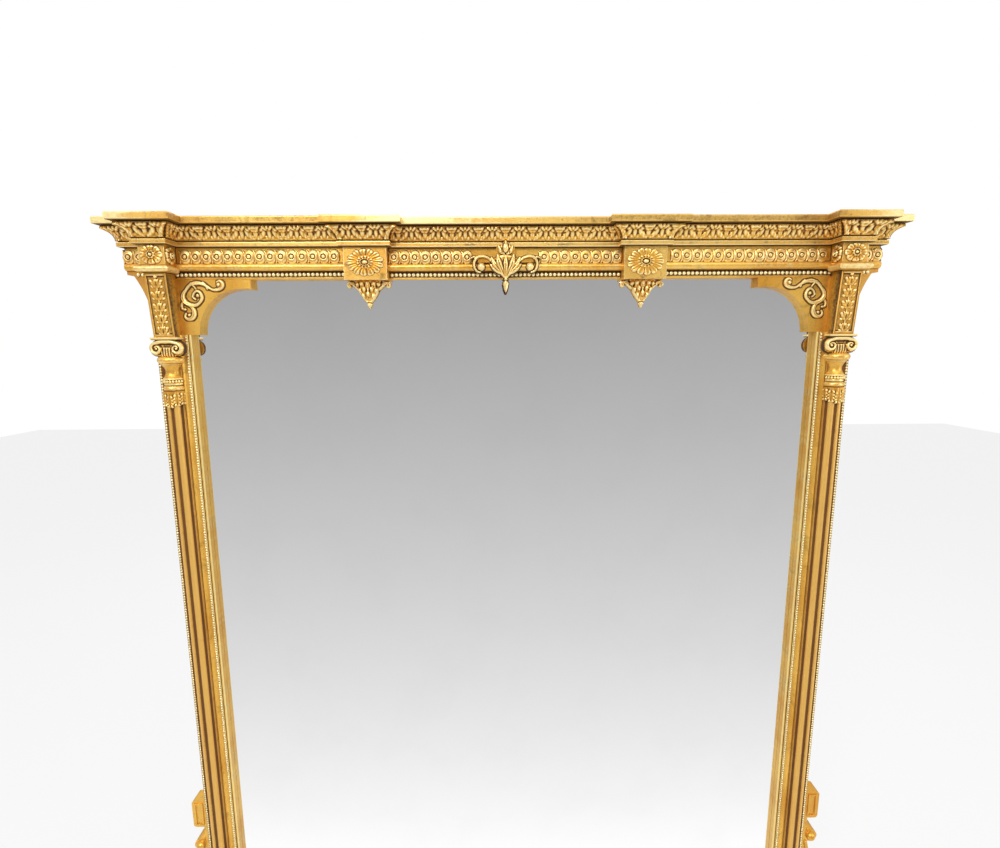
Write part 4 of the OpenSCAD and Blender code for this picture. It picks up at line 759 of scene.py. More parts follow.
# Plan lines of the entablature
def full_plan():
    """The broken line of the frieze, from the left end at the wall to the right one."""
    c0, c1, cd = CORNER
    r0, r1, rd = ROSETTE
    right = [(r0, CENTRE_SET), (r0, rd), (r1, rd), (r1, FRIEZE_SET), (c0, FRIEZE_SET), (c0, cd), (c1, cd),
             (c1, FRIEZE_SET), (END, FRIEZE_SET), (END, BACK - FACE)]
    return [(s * x, at(depth)) for s, side in ((-1, right[::-1]), (1, right)) for x, depth in side]


class OrnamentOperator(bpy.types.Operator):
    """Shared options of the operators that make pieces."""
    bl_options = {"REGISTER", "UNDO"}


# The photograph's camera: place in metres, yaw, pitch and roll in degrees, focal length over the picture's width
CAMERA_SPOT = (-0.02706, -1.15795, 1.61877)
CAMERA_TURN = (0.628, 8.767, -0.305)
FOCAL_SHARE = 0.51684
FILM = 36.0
FLOOR_HALF = 9
FLOOR_Z = -0.0005
FLOOR_WHITE = 0.80  # share of plain white in the floor as the camera sees it
ROOM_LIGHT = 0.44
WHITE = (1.0, 1.0, 1.0, 1)
# Softboxes: name, place, what it is aimed at, size in metres, watts
LAMPS = (("key", (-1.3, -2.6, 3.4), (0.0, 0.0, 1.4), (1.0, 0.8), 54.0),
         ("fill", (3.6, -1.8, 2.0), (0.0, 0.0, 1.1), (1.6, 1.6), 30.0),
         ("top", (0.4, -2.2, 4.2), (0.0, 0.0, 1.5), (3.0, 1.4), 34.0),
         ("back", (0.0, 2.8, 2.8), (0.0, 0.0, 1.0), (2.4, 2.0), 34.0))


class MIRROR_OT_stage(OrnamentOperator):
    """Set up the floor, the lights and the camera"""
    bl_idname = "mirror.stage"
    bl_label = "Stage"

    def execute(self, context):
        context.scene.view_settings.view_transform = "Standard"
        self.camera(context.scene)
        self.floor()
        self.room(context.scene)
        for name, spot, aim, size, power in LAMPS:
            light = bpy.data.lights.new(name, "AREA")
            light.shape = "RECTANGLE"
            light.size, light.size_y = size
            light.energy = power
            spot, aim = Vector(spot), Vector(aim)
            placed(name, light).matrix_world = (Matrix.Translation(spot)
                                                @ (aim - spot).to_track_quat("-Z", "Y").to_matrix().to_4x4())
        return {"FINISHED"}

    def camera(self, scene):
        cam = bpy.data.cameras.new("camera")
        cam.sensor_width = FILM
        cam.lens = FOCAL_SHARE * FILM
        cam.clip_end = 100.0
        scene.camera = placed("camera", cam)
        yaw, pitch, roll = (math.radians(a) for a in CAMERA_TURN)
        fwd = Vector((math.sin(yaw) * math.cos(pitch), math.cos(yaw) * math.cos(pitch), -math.sin(pitch)))
        right = Vector((math.cos(yaw), -math.sin(yaw), 0.0))
        up = right.cross(fwd)
        right, up = (right * math.cos(roll) + up * math.sin(roll), -right * math.sin(roll) + up * math.cos(roll))
        turn = Matrix((right, up, -fwd)).transposed().to_4x4()
        scene.camera.matrix_world = Matrix.Translation(Vector(CAMERA_SPOT)) @ turn

    def floor(self):
        """A pale floor that the camera sees nearly white, with the object's shadow left in it."""
        mesh = bpy.data.meshes.new("floor")
        e = FLOOR_HALF
        mesh.from_pydata([(-e, -e, FLOOR_Z), (e, -e, FLOOR_Z), (e, e, FLOOR_Z), (-e, e, FLOOR_Z)], [], [(0, 1, 2, 3)])
        obj = placed("floor", mesh)
        obj.visible_glossy = False
        mat = bpy.data.materials.new("pale floor")
        mat.use_nodes = True
        w, nodes = Wiring(mat.node_tree), mat.node_tree.nodes
        nodes["Principled BSDF"].inputs["Base Color"].default_value = (0.85, 0.85, 0.85, 1)
        nodes["Principled BSDF"].inputs["Roughness"].default_value = 0.8
        glow = w.add("ShaderNodeEmission", {"Strength": 1.0})
        seen = w.times(w.add("ShaderNodeLightPath").outputs["Is Camera Ray"], FLOOR_WHITE)
        w.feed(nodes["Material Output"].inputs["Surface"],
               w.blend(seen, nodes["Principled BSDF"].outputs[0], glow.outputs[0]))
        mesh.materials.append(mat)

    def room(self, scene):
        """A white backdrop, a plain even light, and the room that the glass and the gold reflect."""
        scene.world = bpy.data.worlds.new("studio")
        scene.world.use_nodes = True
        w = Wiring(scene.world.node_tree)
        w.tree.nodes.clear()

        def sky(strength):
            return w.add("ShaderNodeBackground", {"Color": WHITE, "Strength": strength}).outputs[0]

        # The mirrored room is pale below, greyer at eye height and light above
        way = w.add("ShaderNodeSeparateXYZ", {0: w.add("ShaderNodeTexCoord").outputs["Generated"]}).outputs
        slope = w.maths("DIVIDE", way["Z"], w.maths("MAXIMUM", w.maths("ABSOLUTE", way["Y"]), 0.2))
        low = w.maths("POWER", w.maths("SUBTRACT", 0.674, w.times(slope, 0.29), clamp=True), 2.22)
        mirrored = sky(w.times(w.plus(low, w.span(slope, 0.16, 0.9, 0.0, 0.75)), 1.15))
        ray = w.add("ShaderNodeLightPath").outputs
        plain = w.blend(ray["Is Camera Ray"], sky(ROOM_LIGHT), sky(1.0))
        w.add("ShaderNodeOutputWorld", {"Surface": w.blend(ray["Is Glossy Ray"], plain, mirrored)})


class MIRROR_OT_carcase(OrnamentOperator):
    """Give the carcase, the glass and the back their finishes"""
    bl_idname = "mirror.carcase"
    bl_label = "Carcase and glass"

    def execute(self, context):
        looks = {"glass": "silvered glass", "pine": "bare pine", "old_pine": "old pine", "screws": "dull steel",
                 "plates": "dull brass", "matt_gilt": "matt gilding", "gilt": "burnished gilding"}
        slots = {s["node"]: s["material_slot"] for s in frame["record"]["subparts"]}
        for name, obj in frame["nodes"].items():
            obj.data.materials.clear()
            obj.data.materials.append(bpy.data.materials[looks[slots[name]]])
        return {"FINISHED"}


FASCIA_OUT = 38.0  # how far the fascia stands out from the frieze
FILLET_OUT = 10.0
COVE_STEPS = 14
SIDES = ((ROSETTE[1], CORNER[0], FRIEZE_SET), (HALF, END, FRIEZE_SET))  # stretches right of the rosette block


class MIRROR_OT_cornice(OrnamentOperator):
    """Sweep the fascia, the leaf cove and the fillet along the broken front"""
    bl_idname = "mirror.cornice"
    bl_label = "Cornice"

    def execute(self, context):
        plan = full_plan()
        fascia = [(FASCIA_OUT - 1.2, TOP)] + [(FASCIA_OUT, z) for z in (
            TOP - 0.9, TOP - 3.4, FASCIA_Z + 3.4, FASCIA_Z + 1.0)] + [(37.2, FASCIA_Z), (28, FASCIA_Z)]
        # Painted shadow under the fascia's lower edge; its front painted pale as highlight and rubbed wear
        board = moulding(plan, fascia, painted_shade_and_highlight=lambda u, z: -2.0 if z < FASCIA_Z + 0.4 else 0.7)
        # The gilding of the top edge is dull on the long stretches and over the right rosette block
        board = worn(board, (-690, -380, 0.98), (200, 690, 1.06), (-900, -690, 0.08), (690, 900, 0.08))
        piece("cornice_board_gilt", board, "fascia gilding", ["cornice_board"])
        cove = [(22.0, FASCIA_Z), (22.0, FASCIA_Z - 3.0), (27.6, FASCIA_Z - 3.2)]
        cove += [tuple(map(float, cove_at(COVE_LEN * (1 - i / COVE_STEPS), 0.0)))
                 for i in range(1, COVE_STEPS + 1)]
        # Painted shadow in the quirk under the fascia and painted shade over the whole hollow
        cove = moulding(plan, cove, soften=0.4, painted_shade_and_highlight=lambda u, z: -2.0 if z > FASCIA_Z - 3.1 else -0.42)
        piece("cornice_cove_gilt", cove, "carved gilding", ["cornice_cove"])
        fillet = [(7.0, COVE_Z), (7.0, COVE_Z - 2.5)] + [(FILLET_OUT, z) for z in (
            COVE_Z - 2.6, COVE_Z - 4.8, FILLET_Z + 3.4, FILLET_Z + 1.2)] + [(8.8, FILLET_Z), (1.0, FILLET_Z)]
        # Painted shadow under the fillet and at its back under the cove
        fillet = moulding(plan, fillet, painted_shade_and_highlight=lambda u, z: -2.0 if z < FILLET_Z + 0.4 or u < 7.4 else 0.0)
        piece("cornice_fillet_gilt", worn(fillet, (-900, -300, 0.26), (600, 900, 0.26)), "fascia gilding",
              ["cornice_fillet"])
        # The frieze's ground and its round moulding, one length for every stretch between the blocks, with painted
        # shade along the ground's edges and where the moulding meets the ground
        ground, torus = [], []
        for x0, x1, depth in ((-ROSETTE[0], ROSETTE[0], CENTRE_SET), *SIDES):
            copies = both if x0 > 0 else lambda form: [form]
            ground += copies(skin(x0, x1, TORUS_Z + 15.5, FILLET_Z, at(depth)))
            torus += copies(*lengths([(x0, at(depth)), (x1, at(depth))],
                                     arc(0.0, TORUS_Z + TORUS_R, TORUS_R, 90, -90, 14), soften=0.0,
                                     painted_shade_and_highlight=lambda u, z: -1.6 if u < 1.6 else -0.04))
        piece("frieze_ground_gilt", ground, "burnished gilding")
        piece("frieze_torus_gilt", torus, "burnished gilding", ["frieze_torus"])
        return {"FINISHED"}


def hollow_of_cove(foot, head, r):
    """The middle, the first and last angle and the length of the arc from the cove's foot to its head."""
    way = head - foot
    chord = float(np.linalg.norm(way))
    mid = (foot + head) / 2 + np.array([way[1], -way[0]]) / chord * math.sqrt(r ** 2 - chord ** 2 / 4)
    first, last = (math.atan2(*(end - mid)[::-1]) % (2 * math.pi) for end in (foot, head))
    return mid, first, last, r * abs(first - last)


COVE_R = 28.0
COVE_MID, COVE_FIRST, COVE_LAST, COVE_LEN = hollow_of_cove(
    np.array([8.5, COVE_Z]), np.array([28.0, FASCIA_Z - 3.0]), COVE_R)


def cove_at(v, h):
    """Outward distance and height of a point v along the hollow from its foot, h off its surface."""
    a = COVE_FIRST + (COVE_LAST - COVE_FIRST) * v / COVE_LEN
    return COVE_MID[0] + (COVE_R - h) * np.cos(a), COVE_MID[1] + (COVE_R - h) * np.sin(a)


LEAF_HALF = 29.0  # half the pitch that the leaf below is drawn for
SHORTEST = 12.0  # a shorter straight length of the cove has no leaves


def leaf_heights(u, v):
    """One repeat of the leaf cove: a broad leaf with a cupped head, and a slender leaf at either side."""
    s = COVE_LEN
    au = np.abs(u)
    side = LEAF_HALF - au
    cup = np.maximum.reduce([
        np.where(v < s * 0.90, 2.2, GROUND),
        mound(u, v, 0, s - 10.0, 9.8, 8.6, 6.6, blunt=0.4),
        mound(u, v, 0, s * 0.36, 5.6, 12.0, 5.6),
        *mounds(au, v, (7.6, s - 5.4, 3.9, 3.9, 7.0), (5.8, s * 0.17, 4.2, 6.6, 4.8, -24),
                (11.4, s * 0.28, 4.8, 9.8, 5.4, -24), (17.0, s * 0.43, 5.0, 11.0, 5.8, -15),
                (14.4, s * 0.70, 4.0, 6.4, 5.2, -32)),
        # Slender forked leaf between the cups
        *mounds(side, v, (0, s * 0.38, 4.4, 12.5, 5.2), (5.0, s * 0.79, 3.9, 7.2, 6.4, -34),
                (0, s * 0.88, 3.2, 4.8, 6.2), (8.6, s * 0.92, 2.9, 2.9, 7.0), (6.6, s * 0.17, 3.7, 5.6, 4.0, -22))])
    cup = hollow(cup, 2.4, u / 4.8, (v - (s - 9.0)) / 3.6)
    cup = hollow(cup, 3.0, (au - 13.5) / 2.6, (v - s * 0.86) / 4.0)
    return np.where(cup > 1.3, cup - 1.1 * np.exp(-(np.minimum(au, side) / 0.9) ** 2) * (v < s * 0.62), cup)


class MIRROR_OT_leaves(OrnamentOperator):
    """Carve the leaves in the cornice's cove"""
    bl_idname = "mirror.leaves"
    bl_label = "Cornice leaves"

    def execute(self, context):
        plan, ways = ways_along(full_plan())
        # At either end of a length the hollow runs past its end at an outer mitre, 1, and stops short at an inner, -1
        turns = [0] + [1 if a[0] * b[1] > a[1] * b[0] else -1 for a, b in zip(ways, ways[1:])] + [0]
        forms = []
        for a, b, way, ends in zip(plan, plan[1:], ways, zip(turns, turns[1:])):
            length = float(np.linalg.norm(b - a))
            if length >= SHORTEST:
                forms.append(self.stretch(a, way, length, ends, sizes().leaf_pitch * 1000.0))
        carved("cornice_leaves", forms)
        return {"FINISHED"}

    def stretch(self, start, way, length, ends, pitch):
        """The leaves on one straight length, cut to its mitres, with a leaf up each outer mitre."""
        at_wall = [2.0 if e == 0 else 0.0 for e in ends]

        def limits(v):
            out = cove_at(v, 0.0)[0]
            return at_wall[0] - ends[0] * out, length - at_wall[1] + ends[1] * out

        def real(t, v):
            lo, hi = limits(v)
            return lo + (hi - lo) * t / length

        def heights(t, v):
            u = real(t, v)
            x = (u - length / 2 + pitch / 2) % pitch - pitch / 2
            h = leaf_heights(x * 2 * LEAF_HALF / pitch, v)
            lo, hi = limits(v)
            for gap, sort in ((u - lo, ends[0]), (hi - u, ends[1])):
                if sort == 1:
                    ribs = 0.35 * np.cos(v * 0.8 - gap * 0.9) - 1.3 * np.exp(-((gap - 5.0) / 0.8) ** 2)
                    leaf = 6.0 * np.sqrt(np.clip(1 - ((gap - 5.0) / 6.4) ** 2, 0, None)) + ribs
                    h = np.where(gap < 10.6, leaf, h)
            return h

        def lay(t, v, h):
            out, z = cove_at(v, h)
            # The carving's own height must not carry it across a mitre
            inward = cove_at(v, 0.0)[0] - out
            lo, hi = limits(v)
            u = np.clip(real(t, v), lo + inward * ends[0], hi - inward * ends[1])
            x = start[0] + way[0] * u + way[1] * out
            y = start[1] + way[1] * u - way[0] * out
            return np.stack([x, np.minimum(y, BACK - 1.0), z], axis=1)

        return softened(carving(heights, 0, length, 0.3, COVE_LEN - 0.2, (1.3, 1.15), lay), 0.72, 0.06)


COIN_HALF_W = 12.4
COIN_HALF_H = 15.4
COIN_STEP = 0.95
CENTRE_CLEAR = 72.0  # half the length that the coins leave free for the palmette
CORNER_CLEAR = 6.0


def coin_heights(u, v):
    """One coin of the band: a domed disc with a ringed button, whose left edge lies under its neighbour's."""
    disc = mound(u, v, 0, 0, 13.0, 15.2, 6.0, blunt=0.4)
    button = mound(u, v, 0, 0, 3.9, 3.9, 7.2)
    over = curl(u, v, [(-11.2, -12.4), (-9.2, -7.2), (-8.8, 0), (-9.8, 7.2), (-12.0, 12.0)], 5,
                [1.6, 2.2, 1.6], [3.4, 5.6, 3.4])
    r = np.hypot(u, v)
    return hollow(hollow(np.maximum.reduce([disc, button, over]), 3.0, (r - 4.9) / 0.8), 2.4, r / 1.2)


class MIRROR_OT_coins(OrnamentOperator):
    """Lay the band of overlapping coins on the frieze"""
    bl_idname = "mirror.coins"
    bl_label = "Coin band"

    def execute(self, context):
        pitch = sizes().coin_pitch * 1000.0
        # A halo of painted shade round each coin darkens the notches between the coins
        unit = unit_object(carving(coin_heights, -COIN_HALF_W, pitch - COIN_HALF_W + 1.2, -COIN_HALF_H, COIN_HALF_H,
                                   COIN_STEP, on_front(0, 0, 0), back=0.5, halo=1.2))
        forms = []
        for s in (-1, 1):
            for a, b, depth in (SIDES[0], (CENTRE_CLEAR, ROSETTE[0], CENTRE_SET), SIDES[1]):
                # The run on the return's front starts clear of the corner block
                shift = CORNER_CLEAR if b == END else 0
                x0, x1 = sorted((s * (a + shift), s * (b + shift)))
                n = int((x1 - x0 - 2) / pitch)
                first = (x0 + x1 - (n - 1) * pitch) / 2
                forms.append(row(unit, (first, at(depth), COIN_Z), (pitch, 0, 0), n, "carved gilding"))
        drop(unit)
        y0 = at(FRIEZE_SET)
        forms += both(carving(lambda u, v: coin_heights((u - 1.0) % pitch - COIN_HALF_W, v), 0.6, BACK - 1.0 - y0,
                              -COIN_HALF_H, COIN_HALF_H, COIN_STEP,
                              lambda u, v, h: np.stack([END + h, y0 + u, COIN_Z + v], axis=1), back=0.5, halo=1.2))
        carved("coin_band", forms)
        return {"FINISHED"}


END_CLEAR = 17.0  # the large beads stop this far from the frieze's end


class MIRROR_OT_beads(OrnamentOperator):
    """String the small and the large beads"""
    bl_idname = "mirror.beads"
    bl_label = "Beads"

    def execute(self, context):
        pitch, big_pitch = sizes().bead_pitch * 1000.0, sizes().big_bead_pitch * 1000.0
        around = sizes().bead_faces
        small = unit_object(bead_form(pitch * 0.47, around))
        large = unit_object(bead_form(big_pitch * 0.45, around + 2))

        def string(unit, pitch, ends, y, x=None, z=None):
            """A string along X at a height z, or along Z at a place x."""
            start, end = sorted(ends)
            n = int((end - start) / pitch)
            first = start + (end - start - (n - 1) * pitch) / 2
            if x is None:
                # A bead's poles lie along the string
                return row(unit, (first, y, z), (pitch, 0, 0), n, "bead gilding", (0, math.pi / 2, 0))
            return row(unit, (x, y, first), (0, 0, pitch), n, "bead gilding")

        def strung(name, *strings):
            piece(f"{name}_bead_string", strings, "bead gilding", [f"{name}_beads"], sharp=0)

        for side, s in (("left", -1), ("right", 1)):
            ends = (LOW_BEAD_Z + 2 * BEAD_R, SPANDREL_Z)
            strung(f"{side}_inner", string(small, pitch, ends, at(BEAD_SET), x=s * BEAD_X))
            x = s * (HALF - BEAD_R - 0.2)
            strung(f"{side}_outer", *(string(small, pitch, ends, FACE, x=x)
                                      for ends in ((SHAFT_Z, RING_Z), (CONSOLE_Z, CAP_Z))))
        end = BEAD_X + BEAD_R
        strung("bottom", string(small, pitch, (-end, end), at(BEAD_SET), z=LOW_BEAD_Z))
        runs = [((-ROSETTE[0], ROSETTE[0]), CENTRE_SLIP_SET)]
        for s in (-1, 1):
            runs += [((s * ROSETTE[1], s * INNER), SIDE_SLIP_SET), ((s * HALF, s * (END - END_CLEAR)), FRIEZE_SET)]
        strung("top", *(string(large, big_pitch, ends, at(depth), z=BIG_BEAD_Z) for ends, depth in runs))
        drop(small)
        drop(large)
        return {"FINISHED"}


def flower_heights(hw, hh, petals, split, button):
    """A flower of separate split petals round a button, hw wide and hh high from its middle."""
    bw, bh = button

    def petal(u, v, t, reach, rise, fill):
        far_u, far_v = hw * math.cos(t) * reach, hh * math.sin(t) * reach
        long, turn = math.hypot(far_u, far_v), math.atan2(far_v, far_u)
        gap = math.hypot(hw * math.sin(t), hh * math.cos(t)) * 2 * math.pi / petals * reach * 0.72
        c, s = math.cos(turn), math.sin(turn)
        along, across = u * c + v * s, -u * s + v * c
        # A petal is narrow at its root and broad and round at its end
        girth = gap * fill * np.clip(0.35 + 0.75 * along / long, 0.3, 1.0)
        q = (np.abs(across) / girth) ** 2 + np.clip((along - long * 0.70) / (long * 0.30), 0, None) ** 2
        body = np.where((q < 1) & (along > 0), rise * (0.55 + 0.45 * np.clip(along / long, 0, 1))
                        * np.maximum(1 - q, 0) ** 0.42, GROUND)
        crease = split * np.exp(-(across / (girth * 0.28)) ** 2) * np.clip(along / long * 2 - 0.6, 0, 1)
        return np.where(body > 0, body - crease, GROUND)

    def heights(u, v):
        parts = [petal(u, v, 2 * math.pi * (k + shift) / petals, reach, rise, fill)
                 for shift, reach, rise, fill in ((0, 1.0, 6.0, 0.66), (0.5, 0.50, 7.0, 0.42)) for k in range(petals)]
        r = np.hypot(u, v * bw / bh)
        rim = (r - (bw + 1.9)) / 1.5
        parts.append(mound(u, v, 0, 0, bw, bh, 8.8))
        parts.append(np.where(np.abs(rim) < 1, 7.8 * np.sqrt(np.maximum(1 - rim * rim, 0.0)), GROUND))
        return np.maximum.reduce(parts) - 2.4 * np.exp(-((r - bw) / 0.8) ** 2)
    return heights


class MIRROR_OT_flowers(OrnamentOperator):
    """Carve the oval sunflowers and the corner rosettes"""
    bl_idname = "mirror.flowers"
    bl_label = "Sunflowers and rosettes"

    def execute(self, context):
        # Halos of painted shade round the sunflowers and rosettes
        carved("oval_rosettes", both(carving(
            flower_heights(41.5, 29.5, 13, 1.5, (7.8, 5.4)), -42, 42, -30, 30, 0.75,
            on_front(ROSETTE_X, (FILLET_Z + SIGHT_TOP) / 2, at(ROSETTE[2])), halo=1.0)))
        z = (FILLET_Z + CAP_Z + CAP_H) / 2
        front = carving(flower_heights(24.5, 20.4, 8, 1.3, (5.0, 4.6)), -25, 25, -20.6, 20.6, 0.75,
                        on_front(COLUMN_X, z, at(CORNER[2])), halo=1.0)

        def on_side(u, v, h):
            return np.stack([CORNER[0] - h, at(CORNER[2] / 2) - u, z + v], axis=1)

        side = carving(flower_heights(15.6, 18.8, 7, 1.1, (3.8, 3.8)), -16, 16, -19.5, 19.5, 0.8, on_side)
        carved("corner_rosettes", both(front) + both(side))
        return {"FINISHED"}


def pendant_heights(u, v):
    """An acanthus pendant, v measured up from its top at 0."""
    au = np.abs(u)
    d = -v
    half = np.interp(d, [0, 5, 12, 19, 25, 33, 39, 44, 46], [29, 28.5, 25, 23, 21.8, 17.5, 13.5, 9.0, 6.0])
    rise = np.interp(d, [0, 8, 30, 46], [19.0, 19.5, 15.0, 10.0])
    parts = [np.where((au < half) & (d < 45.5), rise * np.maximum(1 - (au / half) ** 2, 0) ** 0.28, GROUND)]
    # Overlapping lobes, tier over tier, with deep eyes between them
    parts += mounds(au, v, (0, -6, 7.4, 7.4, 23), (13.0, -6.5, 6.6, 7.4, 22, -16), (22.5, -8.0, 5.6, 6.2, 20, -34),
                    (8.0, -18, 6.4, 9.0, 21.5, -10), (17.4, -21, 5.0, 7.4, 18.5, -18), (0, -28, 5.8, 9.4, 20.0),
                    (10.4, -32, 5.0, 7.6, 17.0, -16), blunt=0.35)
    parts += [
        # Side volutes that run out and curl down
        curl(au, v, [(22, -16), (29, -10.0), (36, -5.5), (42.4, -4.8), (46.0, -8.8), (44.0, -13), (40.5, -12.4)], 6,
             [5.4, 5.0, 4.0, 2.4], [12, 12, 10, 8], vein=1.8),
        mound(au, v, 41.6, -9.4, 3.2, 3.2, 10.5),
        # Collar and bud
        band(u, v, [(-5.4, -45), (5.4, -45)], [2.4, 2.4], [11, 11]),
        *mounds(u, v, (0, -51.4, 6.0, 6.2, 12), (0, -57.2, 2.8, 3.4, 8.0))]
    h = np.maximum.reduce(parts)
    for cu, cv, wide, tall in ((6.8, -9.5, 1.8, 4.4), (19.0, -12.5, 1.6, 3.4), (3.8, -20.0, 1.6, 4.6)):
        h = hollow(h, 5.0, (au - cu) / wide, (v - cv) / tall)
    return np.where((h > 1) & (d < 42), h + 0.8 * np.sin(au * 1.7 + d * 0.6), h)


class MIRROR_OT_pendants(OrnamentOperator):
    """Carve the acanthus pendants under the rosette blocks"""
    bl_idname = "mirror.pendants"
    bl_label = "Pendants"

    def execute(self, context):
        form = carving(pendant_heights, -48.5, 48.5, -61, 0, 0.8,
                       on_front(ROSETTE_X, SIGHT_TOP - 3.0, at(GLASS_SET)), back=0.4)
        carved("pendants", both(softened(form, 0.62, 0.14)))
        return {"FINISHED"}


def palmette_heights(u, v):
    """The middle ornament, v measured up from the foot of its leaves."""
    au = np.abs(u)
    half = np.interp(v, [-3, 4, 14, 28, 40, 50], [0.5, 7.0, 15.0, 25.0, 28.0, 9.0])
    parts = [np.where((au < half) & (v < 48), 7.0 * np.maximum(1 - (au / half) ** 2, 0) ** 0.3, GROUND)]
    # Broad pointed lobes that run down together to the foot
    for points, widths, rises in (
            ([(0, 0), (0, 16), (0, 32), (0, 47)], [3.0, 6.6, 7.6, 2.6], [8, 11, 12, 9]),
            ([(1.5, 1), (8, 16), (14.5, 31), (17.5, 49)], [3.2, 7.2, 8.8, 2.4], [7, 11, 13, 9]),
            ([(2.5, 3), (13, 17), (23.5, 29), (31, 43)], [3.0, 6.4, 7.4, 2.2], [6.5, 10, 11.5, 8]),
            ([(4, 7), (14, 13), (24, 20), (33.5, 29)], [2.6, 4.6, 5.0, 1.8], [5.5, 8, 9, 6])):
        parts.append(curl(au, v, points, 6, widths, rises, vein=2.4, vein_w=0.13, blunt=0.6))
    # The drop below the foot
    drop_half = np.interp(v, [-31, -28, -22, -11, -7, -6], [0.01, 2.2, 4.6, 6.6, 4.6, 0.01])
    parts += [
        # Bud at the top between curled tips
        mound(u, v, 0, 63, 8.0, 11.5, 12.5, blunt=0.4),
        mound(au, v, 10.5, 58, 6.0, 8.4, 10.5, turn=-24),
        curl(au, v, [(3, 50), (8.5, 54), (13, 60), (14.5, 67)], 5, [2.4, 4.4, 3.6, 2.2], [8, 9.5, 9.5, 8], vein=1.4),
        curl(au, v, [(8, 58), (9, 66), (8, 73)], 5, [2.4, 3.2, 1.8], [8, 10, 8]),
        *mounds(u, v, (0, 75.5, 3.4, 4.4, 9.0), (0, -2.5, 4.0, 3.8, 9.0)),
        np.where((au < drop_half) & (v > -31) & (v < -6),
                 7.0 * np.sqrt(np.maximum(1 - (au / drop_half) ** 2, 0)) + 0.4, GROUND)]
    crease = 2.4 * np.exp(-((au - 7.6 - 0.12 * (v - 50)) / 0.9) ** 2) * (v > 50) * (v < 74)
    return np.maximum.reduce(parts) - crease


def scroll_heights(u, v):
    """A scroll beside the palmette: a band that runs out, curls down and holds a ball. u runs outward."""
    return np.maximum.reduce([
        curl(u, v, [(-22, 11), (-13, 17.5), (-1, 20.5), (10, 17), (15.5, 7), (15.0, -3), (10, -10.5), (3, -13)], 6,
             [2.6, 3.4, 3.4, 3.0, 2.0], [5, 7.5, 8, 7.5, 5.5], vein=2.0, vein_w=0.16),
        curl(u, v, [(8, 15), (16, 19), (22, 16.5)], 5, [2.0, 2.6, 1.6], [5, 6, 5]),
        mound(u, v, 0.5, -2, 8.8, 8.8, 11.0),
    ])


class MIRROR_OT_centre(OrnamentOperator):
    """Carve the palmette and its scrolls in the middle of the frieze"""
    bl_idname = "mirror.centre"
    bl_label = "Palmette and scrolls"

    def execute(self, context):
        def carve(heights, u0, u1, v0, v1, x, z, pad):
            """A carving in front of the frieze, with the pad that joins it to the frieze: from x, to x, top."""
            return (carving(heights, u0, u1, v0, v1, 0.8, on_front(x, z, at(PALM_SET)), back=0.8),
                    block(*pad[:2], at(PALM_SET), at(CENTRE_SET), TORUS_Z + 16.5, pad[2]))

        carved("centre_palmette", carve(palmette_heights, -36, 36, -32, 81, 0, SIGHT_TOP, (-20, 20, FILLET_Z - 0.5)))
        scroll, pad = carve(scroll_heights, -33, 24, -20, 24, 53.0, SIGHT_TOP + 26, (35, 61, TORUS_Z + 26.5))
        carved("centre_scrolls", both(scroll) + both(pad))
        return {"FINISHED"}


def spandrel_heights(x, z):
    """The scrolls on a spandrel, in the frame's own X and Z for the right-hand side."""
    return np.maximum.reduce([
        curl(x, z, [(691, 1750), (702, 1740), (709, 1729), (708, 1718), (698.5, 1709.5), (685, 1707), (674, 1713),
                    (668, 1723), (671, 1733.5), (678, 1738), (685, 1733), (688, 1725), (683, 1720)], 6,
             [1.6, 3.4, 5.4, 4.8, 3.0, 3.4, 2.4, 1.6], [3.6, 5.4, 6.0, 5.4, 4.8, 4.0], vein=1.8, vein_w=0.15),
        curl(x, z, [(705, 1737), (696, 1748), (683, 1754), (669, 1754), (656, 1748), (645, 1741), (634, 1740.5),
                    (624, 1745), (621, 1753), (626, 1759.5), (633, 1757)], 6,
             [1.6, 3.0, 5.0, 3.2, 2.4, 3.8, 4.4, 2.0], [3.4, 5.2, 4.8, 4.4, 5.2, 5.2, 4.0], vein=1.6, vein_w=0.15),
        *mounds(x, z, (629, 1751, 5.4, 5.4, 6.2), (677, 1728, 4.0, 4.0, 5.0), (699, 1686, 3.8, 3.8, 5.0)),
        curl(x, z, [(708, 1712), (696, 1707), (689, 1699), (688, 1688), (693, 1679.5), (702, 1677), (708.5, 1682),
                    (707, 1689)], 6, [1.4, 3.6, 5.2, 4.2, 2.0], [3.4, 5.2, 5.8, 5.0, 4.0], vein=1.7, vein_w=0.15),
        curl(x, z, [(709, 1716), (714, 1709), (713.5, 1700), (707.5, 1698)], 5, [2.4, 3.0, 2.4], [3.2, 4.4, 3.6],
             vein=1.0),
        # Small cross leaves on the upper scroll
        curl(x, z, [(690, 1754), (684, 1748), (680, 1742)], 4, [2.4, 1.4], [4.6, 3.0]),
        curl(x, z, [(664, 1757), (658, 1751), (655, 1743)], 4, [1.4, 2.6], [3.4, 4.4]),
    ])


class MIRROR_OT_spandrels(OrnamentOperator):
    """Carve the scrolls on the spandrels"""
    bl_idname = "mirror.spandrels"
    bl_label = "Spandrel scrolls"

    def execute(self, context):
        # A halo of painted shade round the scrolls
        carved("spandrel_scrolls", both(carving(spandrel_heights, 614, 719, 1672, 1762, 0.85,
                                                on_front(0, 0, at(SPANDREL_SET)), halo=1.4)))
        return {"FINISHED"}


CONSOLE_HALF = 23
CONSOLE_H = CAP_Z - CONSOLE_Z
CONSOLE_Y = -16.0  # front of the console at its foot
CONSOLE_LEAN = 12.0 / CONSOLE_H  # the front leans out by 12 mm to its top
PANEL_SINK = 3.0


